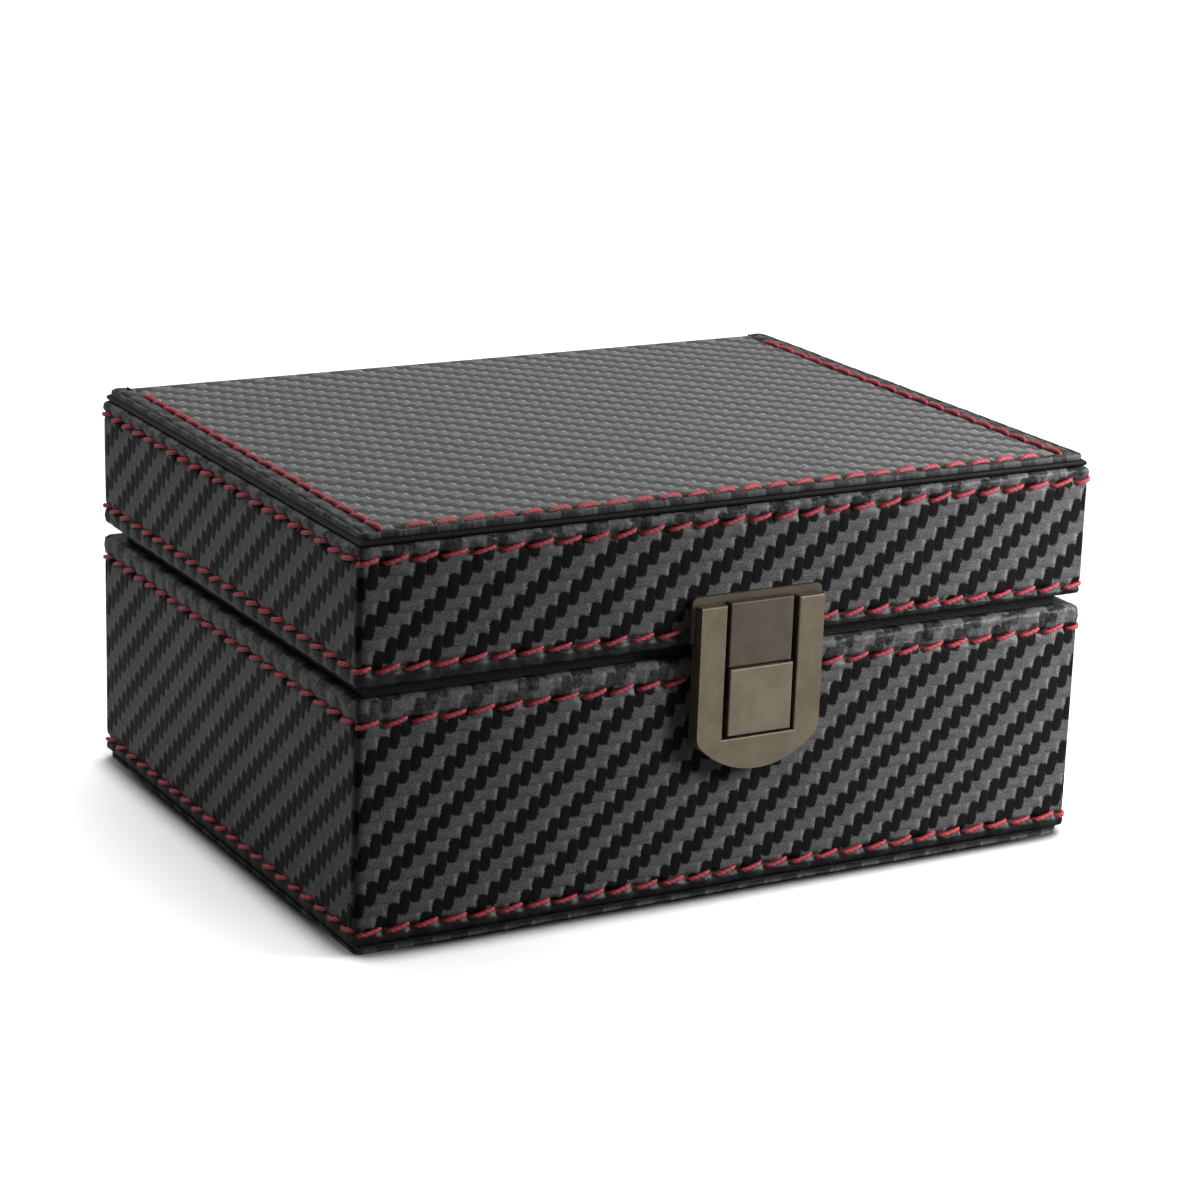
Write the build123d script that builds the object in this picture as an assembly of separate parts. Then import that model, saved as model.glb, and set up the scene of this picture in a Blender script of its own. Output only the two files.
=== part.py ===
from build123d import *
import os
from math import copysign

# A key box that blocks radio signals: boards covered in sewn leather, a shielded collar that rises into a
# hinged lid, and a small box lock with a push button on the front.
#
# The origin is the centre of the underside. +X runs to the right along the front, -Y points out of the front
# and +Z is up. Sizes are in millimetres. An inset is a distance inwards from the outer face of the walls.

# ---- Box ----
width = 150.0
depth = 115.0
height = 75.0
rim_height = 45.9  # top of the base
parting_gap = 2.1  # between the base's rim and the lid's edge
corner_radius = 1.1  # upright corners; the boards inside are square

# ---- Wall layers, from the outside in ----
leather = 1.1
base_board = 2.0
top_board = 2.0
shield_cloth = 0.4
neck_board = 2.0
lining_cloth = 0.6
neck_rise = 7.0  # how far the neck stands above the rim
neck_clearance = 0.4  # between the neck and the lid around it
neck_edge_round = 0.5

# ---- Hems, stitch grooves and seams ----
folded_edge = 0.8  # leather turned over the edge of a board
rim_hem_radius = 1.2
free_edge_radius = 0.9
groove_depth = 0.4
groove_width = 1.4
foot_row = 4.3  # above the ground
rim_row = 4.2  # below the base's rim
lid_edge_row = 3.3  # above the lid's edge
top_hem_row = 4.9  # below the top
foot_groove = 0.6  # between the bottom leather and the side leather
top_groove = 2.4  # from the top down to the side leather
seam_gap = 0.3  # between the side leather and the rear flap
flap_margin = 3.9  # from the end of the corner's arc to the flap's edge
board_edge_round = 1.9  # of the rear edges that the top and bottom leather turn round
least_land = 0.05  # of flat left beside a rounding; a smaller rounding is left square
bottom_panel_inset = 0.7
panel_corner_radius = 1.6

# ---- Top panel ----
top_panel_inset = 0.9
panel_edge_radius = 0.5
top_board_inset = 2.0
top_foam = 0.5
front_row_inset = 3.1
side_row_inset = 5.1
piping_inset = 1.1
piping_clearance = 0.1  # above and below the piping
piping_flange_end = 3.6
foam_clearance = 0.2

# ---- Pads ----
floor_pad = 3.0
lid_pad = 3.0
pad_clearance = 0.4
pad_round = 1.2
pad_corner_radius = 2.4

# ---- Hinges ----
hinge_length = 22.0
hinge_spacing = 84.0
hinge_setback = 1.2  # from the rear face out to the pin's axis
leaf_thickness = 0.9
leaf_reach = 5.4  # inset of the leaf's inner edge
barrel_radius = 1.4
barrel_clearance = 0.25
pin_radius = 0.6
pin_clearance = 0.05
pin_head_radius = 1.15
pin_head = 0.5
pin_head_round = 0.3
knuckle_count = 5
knuckle_gap = 0.12
stop_start = 1.65  # radii between which the stop flanges stand
stop_end = 3.0
base_stop_angle = -45.0  # from straight back
lid_opening = 95.0
stop_clearance_angle = 1.0
screw_spread = 14.0
screw_radius = 0.55
screw_head_radius = 1.15
screw_length = 6.5
screw_clearance = 0.05

# ---- Lock body ----
latch_centre = 2.8  # right of the middle
latch_width = 25.5
latch_proud = 3.0
latch_arm_rise = 9.8  # above the rim
latch_side_drop = 15.2  # from the rim down to the end of the straight sides
latch_round = 16.5  # radius of the lower edge
latch_corner_radius = 3.0
latch_edge_radius = 0.7
latch_slot_edge_radius = 0.3
slot_width = 15.0
slot_drop = 15.1  # from the rim down to the slot's floor
arm_relief = 0.4  # between the arms and the keeper plate

# ---- Keeper on the lid ----
keeper_width = 26.8
keeper_thickness = 0.8
keeper_lift = 0.7  # from the lid's edge up to the plate
keeper_rise = 11.2  # above the rim
keeper_corner_radius = 1.0
tongue_clearance = 1.0
tongue_recess = 0.4  # behind the faces of the arms
tongue_rise = 10.0
tongue_drop = 1.9
tongue_stand_off = 0.6  # from the leather to the back of the tongue
tab_thickness = 0.8
tab_width = 11.0
tab_drop = 7.3
window_width = 5.2
window_height = 2.2
window_edge = 1.0  # of the tab below the window

# ---- Push button ----
button_proud = 0.3
button_travel = 1.0
button_face = 0.8
button_gap = 0.2  # under the tongue
button_foot_gap = 0.6
button_block_height = 6.6
button_edge_radius = 0.25
flange_lip = 0.7  # behind each arm
flange_thickness = 0.9
flange_gap = 0.1
catch_arm_width = 6.4
catch_arm_thickness = 1.0
catch_arm_height = 11.3
catch_width = 4.4
catch_height = 1.3
catch_play = 0.4  # between the catch and the window
catch_set_back = 0.1  # of the catch's tip behind the face of the tab

# ---- Behind the lock ----
pocket_clearance = 0.4  # on each side of the flange
pocket_below = 0.3  # under the slot's floor
pocket_height = 12.6
spring_room = 0.3  # left for the spring with the button pressed
back_plate_margin = 1.4  # outside the rivets' centres
back_plate_height = 16.8
back_plate_drop = 18.4
rivet_radius = 0.7
rivet_head_radius = 1.2
rivet_rows = (12.8, 4.8)  # below the rim
rivet_bite = 1.8
keeper_rivet_rise = 6.4
rivet_clearance = 0.05
spring_thickness = 0.25
spring_chord = 13.0
spring_height = 3.0
spring_drop = 11.6
spring_clearance = 0.05

# ---- Worked out from the sizes above ----
front = -depth / 2
rear = depth / 2
lid_edge = rim_height + parting_gap
neck_inset = leather + base_board + shield_cloth
lid_board = base_board - neck_clearance
board_round = min(board_edge_round, base_board - least_land, top_board - least_land)
rear_bend = leather + board_round
lid_inside_inset = leather + lid_board + shield_cloth
lining_inset = neck_inset + neck_board
neck_top = rim_height + neck_rise
flap_half = width / 2 - corner_radius - flap_margin
side_leather_top = height - top_groove
side_leather_foot = leather + foot_groove
top_board_top = height - leather - top_foam
top_board_foot = top_board_top - top_board
floor_top = leather + base_board
lid_ceiling = top_board_foot - shield_cloth - lining_cloth
piping_gap = top_groove - leather
piping_radius = piping_gap / 2 - piping_clearance
hinge_y = rear + hinge_setback
hinge_z = rim_height + parting_gap / 2
slot_floor = rim_height - slot_drop
tongue_foot = rim_height - tongue_drop
tab_foot = rim_height - tab_drop
window_foot = tab_foot + window_edge
flange_width = slot_width + 2 * flange_lip
pocket_width = flange_width + 2 * pocket_clearance
rivet_spread = (slot_width + latch_width) / 2  # the middles of the arms
back_plate_width = rivet_spread + 2 * back_plate_margin
pocket_foot = slot_floor - pocket_below
pocket_depth = flange_gap + flange_thickness + button_travel + spring_room
back_plate_thickness = leather + base_board - pocket_depth


# ---- Shapes that several pieces share ----
def block(inset, z0, z1, corner=corner_radius):
    """A prism on the box's plan, drawn in by the inset; its upright corners share the given corner's centre."""
    radius = corner - inset
    size = (width - 2 * inset, depth - 2 * inset)
    plan = RectangleRounded(*size, radius) if radius > least_land else Rectangle(*size)
    return Pos(0, 0, z0) * extrude(plan, z1 - z0)


def square_block(inset, z0, z1):
    return Pos(0, 0, z0) * extrude(Rectangle(width - 2 * inset, depth - 2 * inset), z1 - z0)


def brick(x0, x1, y0, y1, z0, z1):
    return Pos((x0 + x1) / 2, (y0 + y1) / 2, (z0 + z1) / 2) * Box(x1 - x0, y1 - y0, z1 - z0)


def board_walls(inset, thickness, z0, z1):
    """Front, rear, left and right boards; the side boards run the full depth between the faces."""
    x_inner = width / 2 - inset - thickness
    y_inner = depth / 2 - inset - thickness
    solid = block(inset, z0, z1)
    left = solid & brick(-width, -x_inner, front, rear, z0, z1)
    return {
        "front": solid & brick(-x_inner, x_inner, front, -y_inner, z0, z1),
        "rear": solid & brick(-x_inner, x_inner, y_inner, rear, z0, z1),
        "left": left,
        "right": mirror(left, about=Plane.YZ),
    }


def quarter(centre, radius, start, end):
    """An arc of a quarter turn about a centre, from one point to another."""
    mid = (Vector(*start) + Vector(*end)) / 2 - Vector(*centre)
    mid = Vector(*centre) + mid.normalized() * radius
    return ThreePointArc(start, (mid.X, mid.Y), end)


def face_of(*edges):
    return make_face(Wire(list(edges)))


def groove_edge(z, step):
    """The dip of a stitch row in an outer face; step is +1 or -1, the way the outline runs."""
    half = groove_width / 2 * step
    return ThreePointArc((0, z - half), (groove_depth, z), (0, z + half))


def hem_edges(row, edge, board, up):
    """The outer face from a stitch row to a board's edge, over it and back to the leather's inner face."""
    reach = leather + board
    start = (0, edge - up * rim_hem_radius)
    over = (rim_hem_radius, edge)
    return [
        groove_edge(row, up),
        Line((0, row + up * groove_width / 2), start),
        quarter((rim_hem_radius, start[1]), rim_hem_radius, start, over),
        Line(over, (reach, edge)),
        Line((reach, edge), (reach, edge - up * folded_edge)),
        Line((reach, edge - up * folded_edge), (leather, edge - up * folded_edge)),
    ]


def side_leather_profile(free_end, free_row, edge, row, board):
    """Section of a side strip: inset across, height up. One end is free, the other is folded over a board."""
    up = copysign(1, edge - free_end)
    bend = free_end + up * free_edge_radius
    inner = (leather, free_end)
    return face_of(
        Line(inner, (free_edge_radius, free_end)),
        quarter((free_edge_radius, bend), free_edge_radius, (free_edge_radius, free_end), (0, bend)),
        Line((0, bend), (0, free_row - up * groove_width / 2)),
        groove_edge(free_row, up),
        Line((0, free_row + up * groove_width / 2), (0, row - up * groove_width / 2)),
        *hem_edges(row, edge, board, up),
        Line((leather, edge - up * folded_edge), inner),
    )


def flap_profile(outside, edge, row, board):
    """Section of the rear flap: from the top or bottom panel round the bend to the parting edge."""
    up = copysign(1, edge - outside)
    bend = outside + up * rear_bend
    inside = outside + up * leather
    return face_of(
        quarter((rear_bend, bend), rear_bend, (rear_bend, outside), (0, bend)),
        Line((0, bend), (0, row - up * groove_width / 2)),
        *hem_edges(row, edge, board, up),
        Line((leather, edge - up * folded_edge), (leather, bend)),
        quarter((rear_bend, bend), rear_bend - leather, (leather, bend), (rear_bend, inside)),
        Line((rear_bend, inside), (rear_bend, outside)),
    )


def round_the_walls(profile, rear_end):
    """Sweep a section of inset and height round the sides and front, from rear_end to rear_end behind."""
    x = width / 2
    corners = [(-rear_end, rear), (-x, rear), (-x, front), (x, front), (x, rear), (rear_end, rear)]
    plane = Plane(origin=(-rear_end, rear, 0), x_dir=(0, -1, 0), z_dir=(-1, 0, 0))
    mitred = sweep(plane * profile, path=Polyline(*corners), transition=Transition.RIGHT)
    return mitred - outside_corners()


def outside_corners():
    """What lies outside the rounding of the four upright corners."""
    r = corner_radius
    waste = face_of(
        quarter((r, r), r, (r, 0), (0, r)),
        Line((0, r), (-r, r)),
        Line((-r, r), (-r, -r)),
        Line((-r, -r), (r, -r)),
        Line((r, -r), (r, 0)),
    )
    waste = Pos(-width / 2, front, 0) * extrude(waste, height)
    both = [waste, mirror(waste, about=Plane.XZ)]
    return both + [mirror(corner, about=Plane.YZ) for corner in both]


def across_the_rear(profile, half_width):
    plane = Plane(origin=(0, rear, 0), x_dir=(0, -1, 0), z_dir=(-1, 0, 0))
    return extrude(plane * profile, half_width, both=True)


def room_for_flap(z0, z1):
    """The strip of a top or bottom panel that the bent flap takes the place of."""
    half = flap_half + seam_gap
    return brick(-half, half, rear - rear_bend, rear, z0, z1)


def side_profile_solid(points, centre, span):
    """Extrude an outline of (y, z) points along X, to both sides of a centre."""
    outline = make_face(Polyline(*points, close=True))
    return extrude(Plane.YZ.offset(centre) * outline, span / 2, both=True)


def fastener(point, direction, length, radius, head_radius, head, grow=0.0):
    """A countersunk pin from the point into the direction; grow makes the hole that it sits in."""
    outline = Polyline(
        (0, 0),
        (head_radius + grow, 0),
        (radius + grow, head),
        (radius + grow, length + grow),
        (0, length + grow),
        close=True,
    )
    turned = revolve(Plane.XZ * make_face(outline), axis=Axis.Z)
    return Plane(origin=point, z_dir=direction) * turned


def group(parts):
    return Compound([solid for part in parts for solid in part.solids()])


# ---- Fasteners, each given with the hole that it makes ----
def hinge_centres():
    return (-hinge_spacing / 2, hinge_spacing / 2)


def screw_points(inset, z):
    offsets = (-screw_spread / 2, screw_spread / 2)
    return [(x + dx, rear - inset, z) for x in hinge_centres() for dx in offsets]


def base_screws(grow=0.0):
    points = screw_points(leather + base_board / 2, rim_height + leaf_thickness)
    size = (screw_length, screw_radius, screw_head_radius, leaf_thickness)
    return [fastener(p, (0, 0, -1), *size, grow) for p in points]


def lid_screws(grow=0.0):
    points = screw_points(leather + lid_board / 2, lid_edge - leaf_thickness)
    size = (screw_length, screw_radius, screw_head_radius, leaf_thickness)
    return [fastener(p, (0, 0, 1), *size, grow) for p in points]


def latch_rivets(grow=0.0):
    start = front + leather + base_board
    length = leather + base_board + rivet_bite
    size = (length, rivet_radius, rivet_head_radius, back_plate_thickness)
    places = [(dx, dz) for dx in (-rivet_spread / 2, rivet_spread / 2) for dz in rivet_rows]
    points = [(latch_centre + dx, start, rim_height - dz) for dx, dz in places]
    return [fastener(p, (0, -1, 0), *size, grow) for p in points]


def keeper_rivets(grow=0.0):
    length = keeper_thickness + leather + lid_board
    size = (length, rivet_radius, rivet_head_radius, keeper_thickness)
    z = rim_height + keeper_rivet_rise
    offsets = (-rivet_spread / 2, rivet_spread / 2)
    points = [(latch_centre + dx, front - keeper_thickness, z) for dx in offsets]
    return [fastener(p, (0, 1, 0), *size, grow) for p in points]


def lock_pocket(depth_in):
    """The mortise behind the lock body, cut through the leather and into the front board."""
    half = pocket_width / 2
    x0, x1 = latch_centre - half, latch_centre + half
    return brick(x0, x1, front - 1, front + depth_in, pocket_foot, pocket_foot + pocket_height)


# ---- Base ----
def base_boards():
    walls = board_walls(leather, base_board, floor_top, rim_height - folded_edge)
    plate_seat = brick(
        latch_centre - back_plate_width / 2,
        latch_centre + back_plate_width / 2,
        front + pocket_depth,
        front + leather + base_board,
        rim_height - back_plate_drop,
        rim_height - back_plate_drop + back_plate_height,
    )
    floor = block(leather, leather, floor_top)
    under_rear = floor.edges().filter_by(Axis.X).group_by(Axis.Z)[0].sort_by(Axis.Y)[-1]
    floor = fillet(under_rear, board_round)
    front_board = walls["front"] - lock_pocket(pocket_depth) - plate_seat
    return {
        "base_floor_board": floor,
        "base_front_board": front_board - latch_rivets(rivet_clearance),
        "base_rear_board": walls["rear"] - base_screws(screw_clearance),
        "base_left_board": walls["left"],
        "base_right_board": walls["right"],
    }


def base_leather():
    profile = side_leather_profile(
        side_leather_foot, foot_row, rim_height, rim_height - rim_row, base_board
    )
    side = round_the_walls(profile, flap_half + seam_gap)
    side = side - lock_pocket(leather + 1) - latch_rivets(rivet_clearance)
    panel = block(bottom_panel_inset, 0, leather, bottom_panel_inset + panel_corner_radius)
    panel = fillet(panel.edges().group_by(Axis.Z)[0], panel_edge_radius)
    panel -= room_for_flap(0, leather)
    flap = across_the_rear(flap_profile(0, rim_height, rim_height - rim_row, base_board), flap_half)
    return {
        "base_side_cover": side,
        "base_bottom_cover": panel + flap - base_screws(screw_clearance),
    }


def ease_top(board, along):
    """Round both long edges of a neck board's top, which the lid slides over."""
    return fillet(board.edges().filter_by(along).group_by(Axis.Z)[-1], neck_edge_round)


def base_inside():
    shield_inset = leather + base_board
    shield = block(shield_inset, floor_top, rim_height)
    shield -= square_block(neck_inset, floor_top + shield_cloth, rim_height)
    neck_foot = floor_top + shield_cloth
    neck = board_walls(neck_inset, neck_board, neck_foot, neck_top)
    low = board_walls(neck_inset, neck_board, neck_foot, rim_height)
    lining = square_block(lining_inset, neck_foot, neck_top - neck_clearance)
    lining -= square_block(lining_inset + lining_cloth, neck_foot + lining_cloth, neck_top)
    lining_rear = rear - lining_inset - lining_cloth
    lining -= brick(-width, width, lining_rear, rear, rim_height - neck_clearance, neck_top)
    pad_inset = lining_inset + lining_cloth + pad_clearance
    pad_foot = neck_foot + lining_cloth
    pad = square_block(pad_inset, pad_foot, pad_foot + floor_pad)
    pad = fillet(pad.edges().filter_by(Axis.Z), pad_corner_radius)
    pad = fillet(pad.edges().group_by(Axis.Z)[-1], pad_round)
    return {
        "base_shield": shield,
        "base_neck_front": ease_top(neck["front"], Axis.X),
        "base_neck_left": ease_top(neck["left"], Axis.Y),
        "base_neck_right": ease_top(neck["right"], Axis.Y),
        "base_neck_rear": low["rear"],
        "base_lining": lining,
        "base_floor_pad": pad,
    }


# ---- Lid ----
def lid_boards():
    walls = board_walls(leather, lid_board, lid_edge + folded_edge, top_board_foot)
    return {
        "lid_top_board": block(top_board_inset, top_board_foot, top_board_top),
        "lid_front_board": walls["front"] - keeper_rivets(rivet_clearance),
        "lid_rear_board": walls["rear"] - lid_screws(screw_clearance),
        "lid_left_board": walls["left"],
        "lid_right_board": walls["right"],
    }


def top_row_grooves():
    """Round bars that press the top panel's stitch rows into the leather."""
    half = groove_width / 2
    radius = (half**2 + groove_depth**2) / (2 * groove_depth)
    z = height - groove_depth + radius
    x = width / 2 - side_row_inset
    y = front + front_row_inset
    length = rear - rear_bend - y
    across = Pos(0, y, z) * Rot(0, 90, 0) * Cylinder(radius, 2 * x + groove_width)
    along = Rot(90, 0, 0) * Cylinder(radius, length)
    return [across] + [Pos(side * x, y + length / 2, z) * along for side in (-1, 1)]


def lid_leather():
    profile = side_leather_profile(
        side_leather_top, height - top_hem_row, lid_edge, lid_edge + lid_edge_row, lid_board
    )
    side = round_the_walls(profile, flap_half + seam_gap)
    panel = block(top_panel_inset, height - leather, height, top_panel_inset + panel_corner_radius)
    ends = panel.edges().group_by(Axis.Z)
    panel = fillet(ends[0] + ends[-1], panel_edge_radius)
    panel = panel - room_for_flap(height - leather, height) - top_row_grooves()
    flap = across_the_rear(flap_profile(height, lid_edge, lid_edge + lid_edge_row, lid_board), flap_half)
    return {
        "lid_side_cover": side - keeper_rivets(rivet_clearance),
        "lid_top_cover": panel + flap - lid_screws(screw_clearance),
    }


def lid_trim():
    """The piping under the top panel's edge, with its sewn-in flange, and the foam inside the flange."""
    bead = Pos(piping_inset, height - leather - piping_gap / 2) * Circle(piping_radius)
    flange_middle = (piping_inset + piping_flange_end) / 2
    flange = Rectangle(piping_flange_end - piping_inset, top_foam)
    section = bead + Pos(flange_middle, top_board_top + top_foam / 2) * flange
    foam_inset = piping_flange_end + foam_clearance
    return {
        "lid_edge_welt": round_the_walls(section, flap_half + seam_gap),
        "lid_top_foam": square_block(foam_inset, top_board_top, top_board_top + top_foam),
    }


def lid_inside():
    shield_inset = leather + lid_board
    shield = block(shield_inset, lid_edge, top_board_foot)
    shield -= square_block(lid_inside_inset, lid_edge, top_board_foot - shield_cloth)
    lining_foot = neck_top + neck_clearance
    lining = square_block(lid_inside_inset, lining_foot, top_board_foot - shield_cloth)
    lining -= square_block(lid_inside_inset + lining_cloth, lining_foot, lid_ceiling)
    pad = square_block(lid_inside_inset + lining_cloth + pad_clearance, lid_ceiling - lid_pad, lid_ceiling)
    pad = fillet(pad.edges().filter_by(Axis.Z), pad_corner_radius)
    pad = fillet(pad.edges().group_by(Axis.Z)[0], pad_round)
    return {"lid_shield": shield, "lid_lining": lining, "lid_pad": pad}


# ---- Hinges ----
def knuckle_spans(own):
    """Start and end of each barrel piece along the hinge; own is 0 for the base's and 1 for the lid's."""
    pitch = hinge_length / knuckle_count
    spans = []
    for index in range(own, knuckle_count, 2):
        start = -hinge_length / 2 + index * pitch
        spans.append((start + knuckle_gap / 2, start + pitch - knuckle_gap / 2))
    return spans


def stop_flange(x0, x1, start, angle, side):
    """A flat flange whose bearing face passes through the pin's axis; side is +1 for metal above it."""
    z0, z1 = sorted((0, side * leaf_thickness))
    return Pos(0, hinge_y, hinge_z) * Rot(angle, 0, 0) * brick(x0, x1, start, stop_end, z0, z1)


def hinge_leaf(centre, own, z0, stop_angle, side):
    half = hinge_length / 2
    leaf_edge = hinge_y - barrel_radius - barrel_clearance
    leaf = brick(-half, half, rear - leaf_reach, leaf_edge, z0, z0 + leaf_thickness)
    leaf += stop_flange(-half, half, stop_start, stop_angle, side)
    for x0, x1 in knuckle_spans(own):
        barrel = Pos((x0 + x1) / 2, hinge_y, hinge_z) * Rot(0, 90, 0) * Cylinder(barrel_radius, x1 - x0)
        leaf += barrel + brick(x0, x1, leaf_edge, hinge_y, z0, z0 + leaf_thickness)
        leaf += stop_flange(x0, x1, pin_radius, stop_angle, side)
    bore = Pos(0, hinge_y, hinge_z) * Rot(0, 90, 0) * Cylinder(pin_radius + pin_clearance, 2 * hinge_length)
    return Pos(centre, 0, 0) * (leaf - bore)


def hinge_pin(centre):
    at = Pos(centre, hinge_y, hinge_z) * Rot(0, 90, 0)
    pin = Cylinder(pin_radius, hinge_length + 2 * pin_clearance)
    head = Cylinder(pin_head_radius, pin_head)
    head = fillet(head.edges().sort_by(Axis.Z)[-1], pin_head_round)
    rise = hinge_length / 2 + pin_clearance + pin_head / 2
    return at * (pin + Pos(0, 0, rise) * head + Pos(0, 0, -rise) * Rot(180, 0, 0) * head)


def hinges():
    lid_stop_angle = base_stop_angle + lid_opening + stop_clearance_angle
    base = [hinge_leaf(x, 0, rim_height, base_stop_angle, -1) for x in hinge_centres()]
    lid = [hinge_leaf(x, 1, lid_edge - leaf_thickness, lid_stop_angle, 1) for x in hinge_centres()]
    return {
        "hinge_base_leaves": group([leaf - base_screws(screw_clearance) for leaf in base]),
        "hinge_lid_leaves": group([leaf - lid_screws(screw_clearance) for leaf in lid]),
        "hinge_pins": group([hinge_pin(x) for x in hinge_centres()]),
        "hinge_base_screws": group(base_screws()),
        "hinge_lid_screws": group(lid_screws()),
    }


# ---- Lock ----
def latch_body():
    """The cast frame: a straight-sided shield with a round lower edge, and an open slot between two arms."""
    half = latch_width / 2
    slot = slot_width / 2
    top = rim_height + latch_arm_rise
    side_end = rim_height - latch_side_drop
    lowest = side_end - latch_round + (latch_round**2 - half**2) ** 0.5
    outline = face_of(
        Line((-half, top), (-half, side_end)),
        ThreePointArc((-half, side_end), (0, lowest), (half, side_end)),
        Line((half, side_end), (half, top)),
        Line((half, top), (slot, top)),
        Line((slot, top), (slot, slot_floor)),
        Line((slot, slot_floor), (-slot, slot_floor)),
        Line((-slot, slot_floor), (-slot, top)),
        Line((-slot, top), (-half, top)),
    )
    body = extrude(Plane.XZ.offset(-front) * Pos(latch_centre, 0) * outline, latch_proud)
    shoulders = [
        edge
        for edge in body.edges().filter_by(Axis.Y)
        if abs(abs(edge.center().X - latch_centre) - half) < 0.01 and abs(edge.center().Z - side_end) < 0.01
    ]
    body = fillet(shoulders, latch_corner_radius)
    outer, inner = [], []
    for edge in body.faces().sort_by(Axis.Y)[0].edges():
        at = edge.center()
        beside_slot = abs(at.X - latch_centre) < slot + 0.01 and at.Z > slot_floor - 0.01
        (inner if beside_slot or at.Z > top - 0.01 else outer).append(edge)
    body = fillet(outer, latch_edge_radius)
    body = fillet(inner, latch_slot_edge_radius)
    relief = keeper_thickness + arm_relief
    relief_foot = lid_edge + keeper_lift - arm_relief
    body -= brick(-width, width, front - relief, front, relief_foot, height)
    return body - latch_rivets(rivet_clearance)


def latch_keeper():
    """The plate on the lid and its hasp: a tongue between the arms and a windowed tab behind the button."""
    plate_foot = lid_edge + keeper_lift
    plate_top = rim_height + keeper_rise
    plate = Rectangle(keeper_width, plate_top - plate_foot)
    plate = Pos(latch_centre, (plate_foot + plate_top) / 2) * plate
    plate = extrude(Plane.XZ.offset(-front) * plate, keeper_thickness)
    plate = fillet(plate.edges().filter_by(Axis.Y).group_by(Axis.Z)[-1], keeper_corner_radius)
    tongue_front = front - latch_proud + tongue_recess
    tongue_back = front - tongue_stand_off
    tab_front = tongue_back - tab_thickness
    tongue = side_profile_solid(
        [
            (tongue_front, tongue_foot),
            (tongue_back, tongue_foot),
            (tongue_back, plate_foot),
            (front, plate_foot),
            (front, rim_height + tongue_rise),
            (tongue_front, rim_height + tongue_rise),
        ],
        latch_centre,
        slot_width - 2 * tongue_clearance,
    )
    tongue = fillet(tongue.faces().sort_by(Axis.Y)[0].edges(), button_edge_radius)
    half = tab_width / 2
    tab = brick(latch_centre - half, latch_centre + half, tab_front, tongue_back, tab_foot, tongue_foot)
    window_half = window_width / 2
    window = brick(
        latch_centre - window_half,
        latch_centre + window_half,
        tab_front - 1,
        tongue_back + 1,
        window_foot,
        window_foot + window_height,
    )
    return plate + tongue + tab - window - keeper_rivets(rivet_clearance)


def latch_button():
    """The push button: face, sliding block, retaining flange and the sprung catch that holds the tab."""
    foot = slot_floor + button_foot_gap
    top = tongue_foot - button_gap
    face_front = front - latch_proud - button_proud
    face_back = face_front + button_face
    flange_front = front + flange_gap
    flange_back = flange_front + flange_thickness
    shoulder = foot + button_block_height
    span = slot_width - 2 * tongue_clearance
    button = side_profile_solid(
        [
            (face_front, foot),
            (flange_front, foot),
            (flange_front, shoulder),
            (face_back, shoulder),
            (face_back, top),
            (face_front, top),
        ],
        latch_centre,
        span,
    )
    button = fillet(button.faces().sort_by(Axis.Y)[0].edges(), button_edge_radius)
    half = flange_width / 2
    button += brick(latch_centre - half, latch_centre + half, flange_front, flange_back, foot, shoulder)
    half = catch_arm_width / 2
    arm_front = flange_back - catch_arm_thickness
    arm_top = foot + catch_arm_height
    button += brick(latch_centre - half, latch_centre + half, arm_front, flange_back, shoulder, arm_top)
    catch_foot = window_foot + catch_play
    catch_tip = front - tongue_stand_off - tab_thickness + catch_set_back
    catch = side_profile_solid(
        [
            (catch_tip, catch_foot),
            (arm_front, catch_foot),
            (arm_front, catch_foot + catch_height),
            (catch_tip, catch_foot + catch_height / 2),
        ],
        latch_centre,
        catch_width,
    )
    return button + catch


def latch_spring():
    """A bowed leaf: its ends bear on the back plate and its middle on the button's flange."""
    space = pocket_depth - flange_gap - flange_thickness
    rise = space - 2 * spring_clearance - spring_thickness
    chord = spring_chord / 2
    ends = pocket_depth - spring_clearance
    top = ends - rise
    inner = ThreePointArc((-chord, ends), (0, top), (chord, ends))
    near = ends - spring_thickness
    outer = ThreePointArc((chord, near), (0, top - spring_thickness), (-chord, near))
    bow = face_of(inner, Line((chord, ends), (chord, near)), outer, Line((-chord, near), (-chord, ends)))
    foot = rim_height - spring_drop
    return Pos(latch_centre, front, foot - spring_height / 2) * extrude(bow, spring_height)


def lock():
    half = back_plate_width / 2
    plate_foot = rim_height - back_plate_drop
    plate = brick(
        latch_centre - half,
        latch_centre + half,
        front + pocket_depth,
        front + leather + base_board,
        plate_foot,
        plate_foot + back_plate_height,
    )
    return {
        "latch_body": latch_body(),
        "latch_back_plate": plate - latch_rivets(rivet_clearance),
        "latch_rivets": group(latch_rivets()),
        "latch_spring": latch_spring(),
        "latch_keeper": latch_keeper(),
        "keeper_rivets": group(keeper_rivets()),
        "latch_button": latch_button(),
    }


def main():
    os.makedirs("parts", exist_ok=True)
    base = (base_boards, base_leather, base_inside)
    lid = (lid_boards, lid_leather, lid_trim, lid_inside)
    for section in (*base, *lid, hinges, lock):
        for name, shape in section().items():
            export_step(shape, f"parts/{name}.step")


main()
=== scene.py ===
"""The looks of a sewn key box: embossed twill leather, red thread, black cloth inside and an aged bronze lock.

Classes keep their sizes in millimetres, as fields. A mesh becomes metres where it is made.
"""

import logging
import math
from dataclasses import dataclass, field
from enum import Enum
from typing import Any, Sequence

import bmesh
import bpy
import numpy as np
from mathutils import Matrix, Vector


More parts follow.
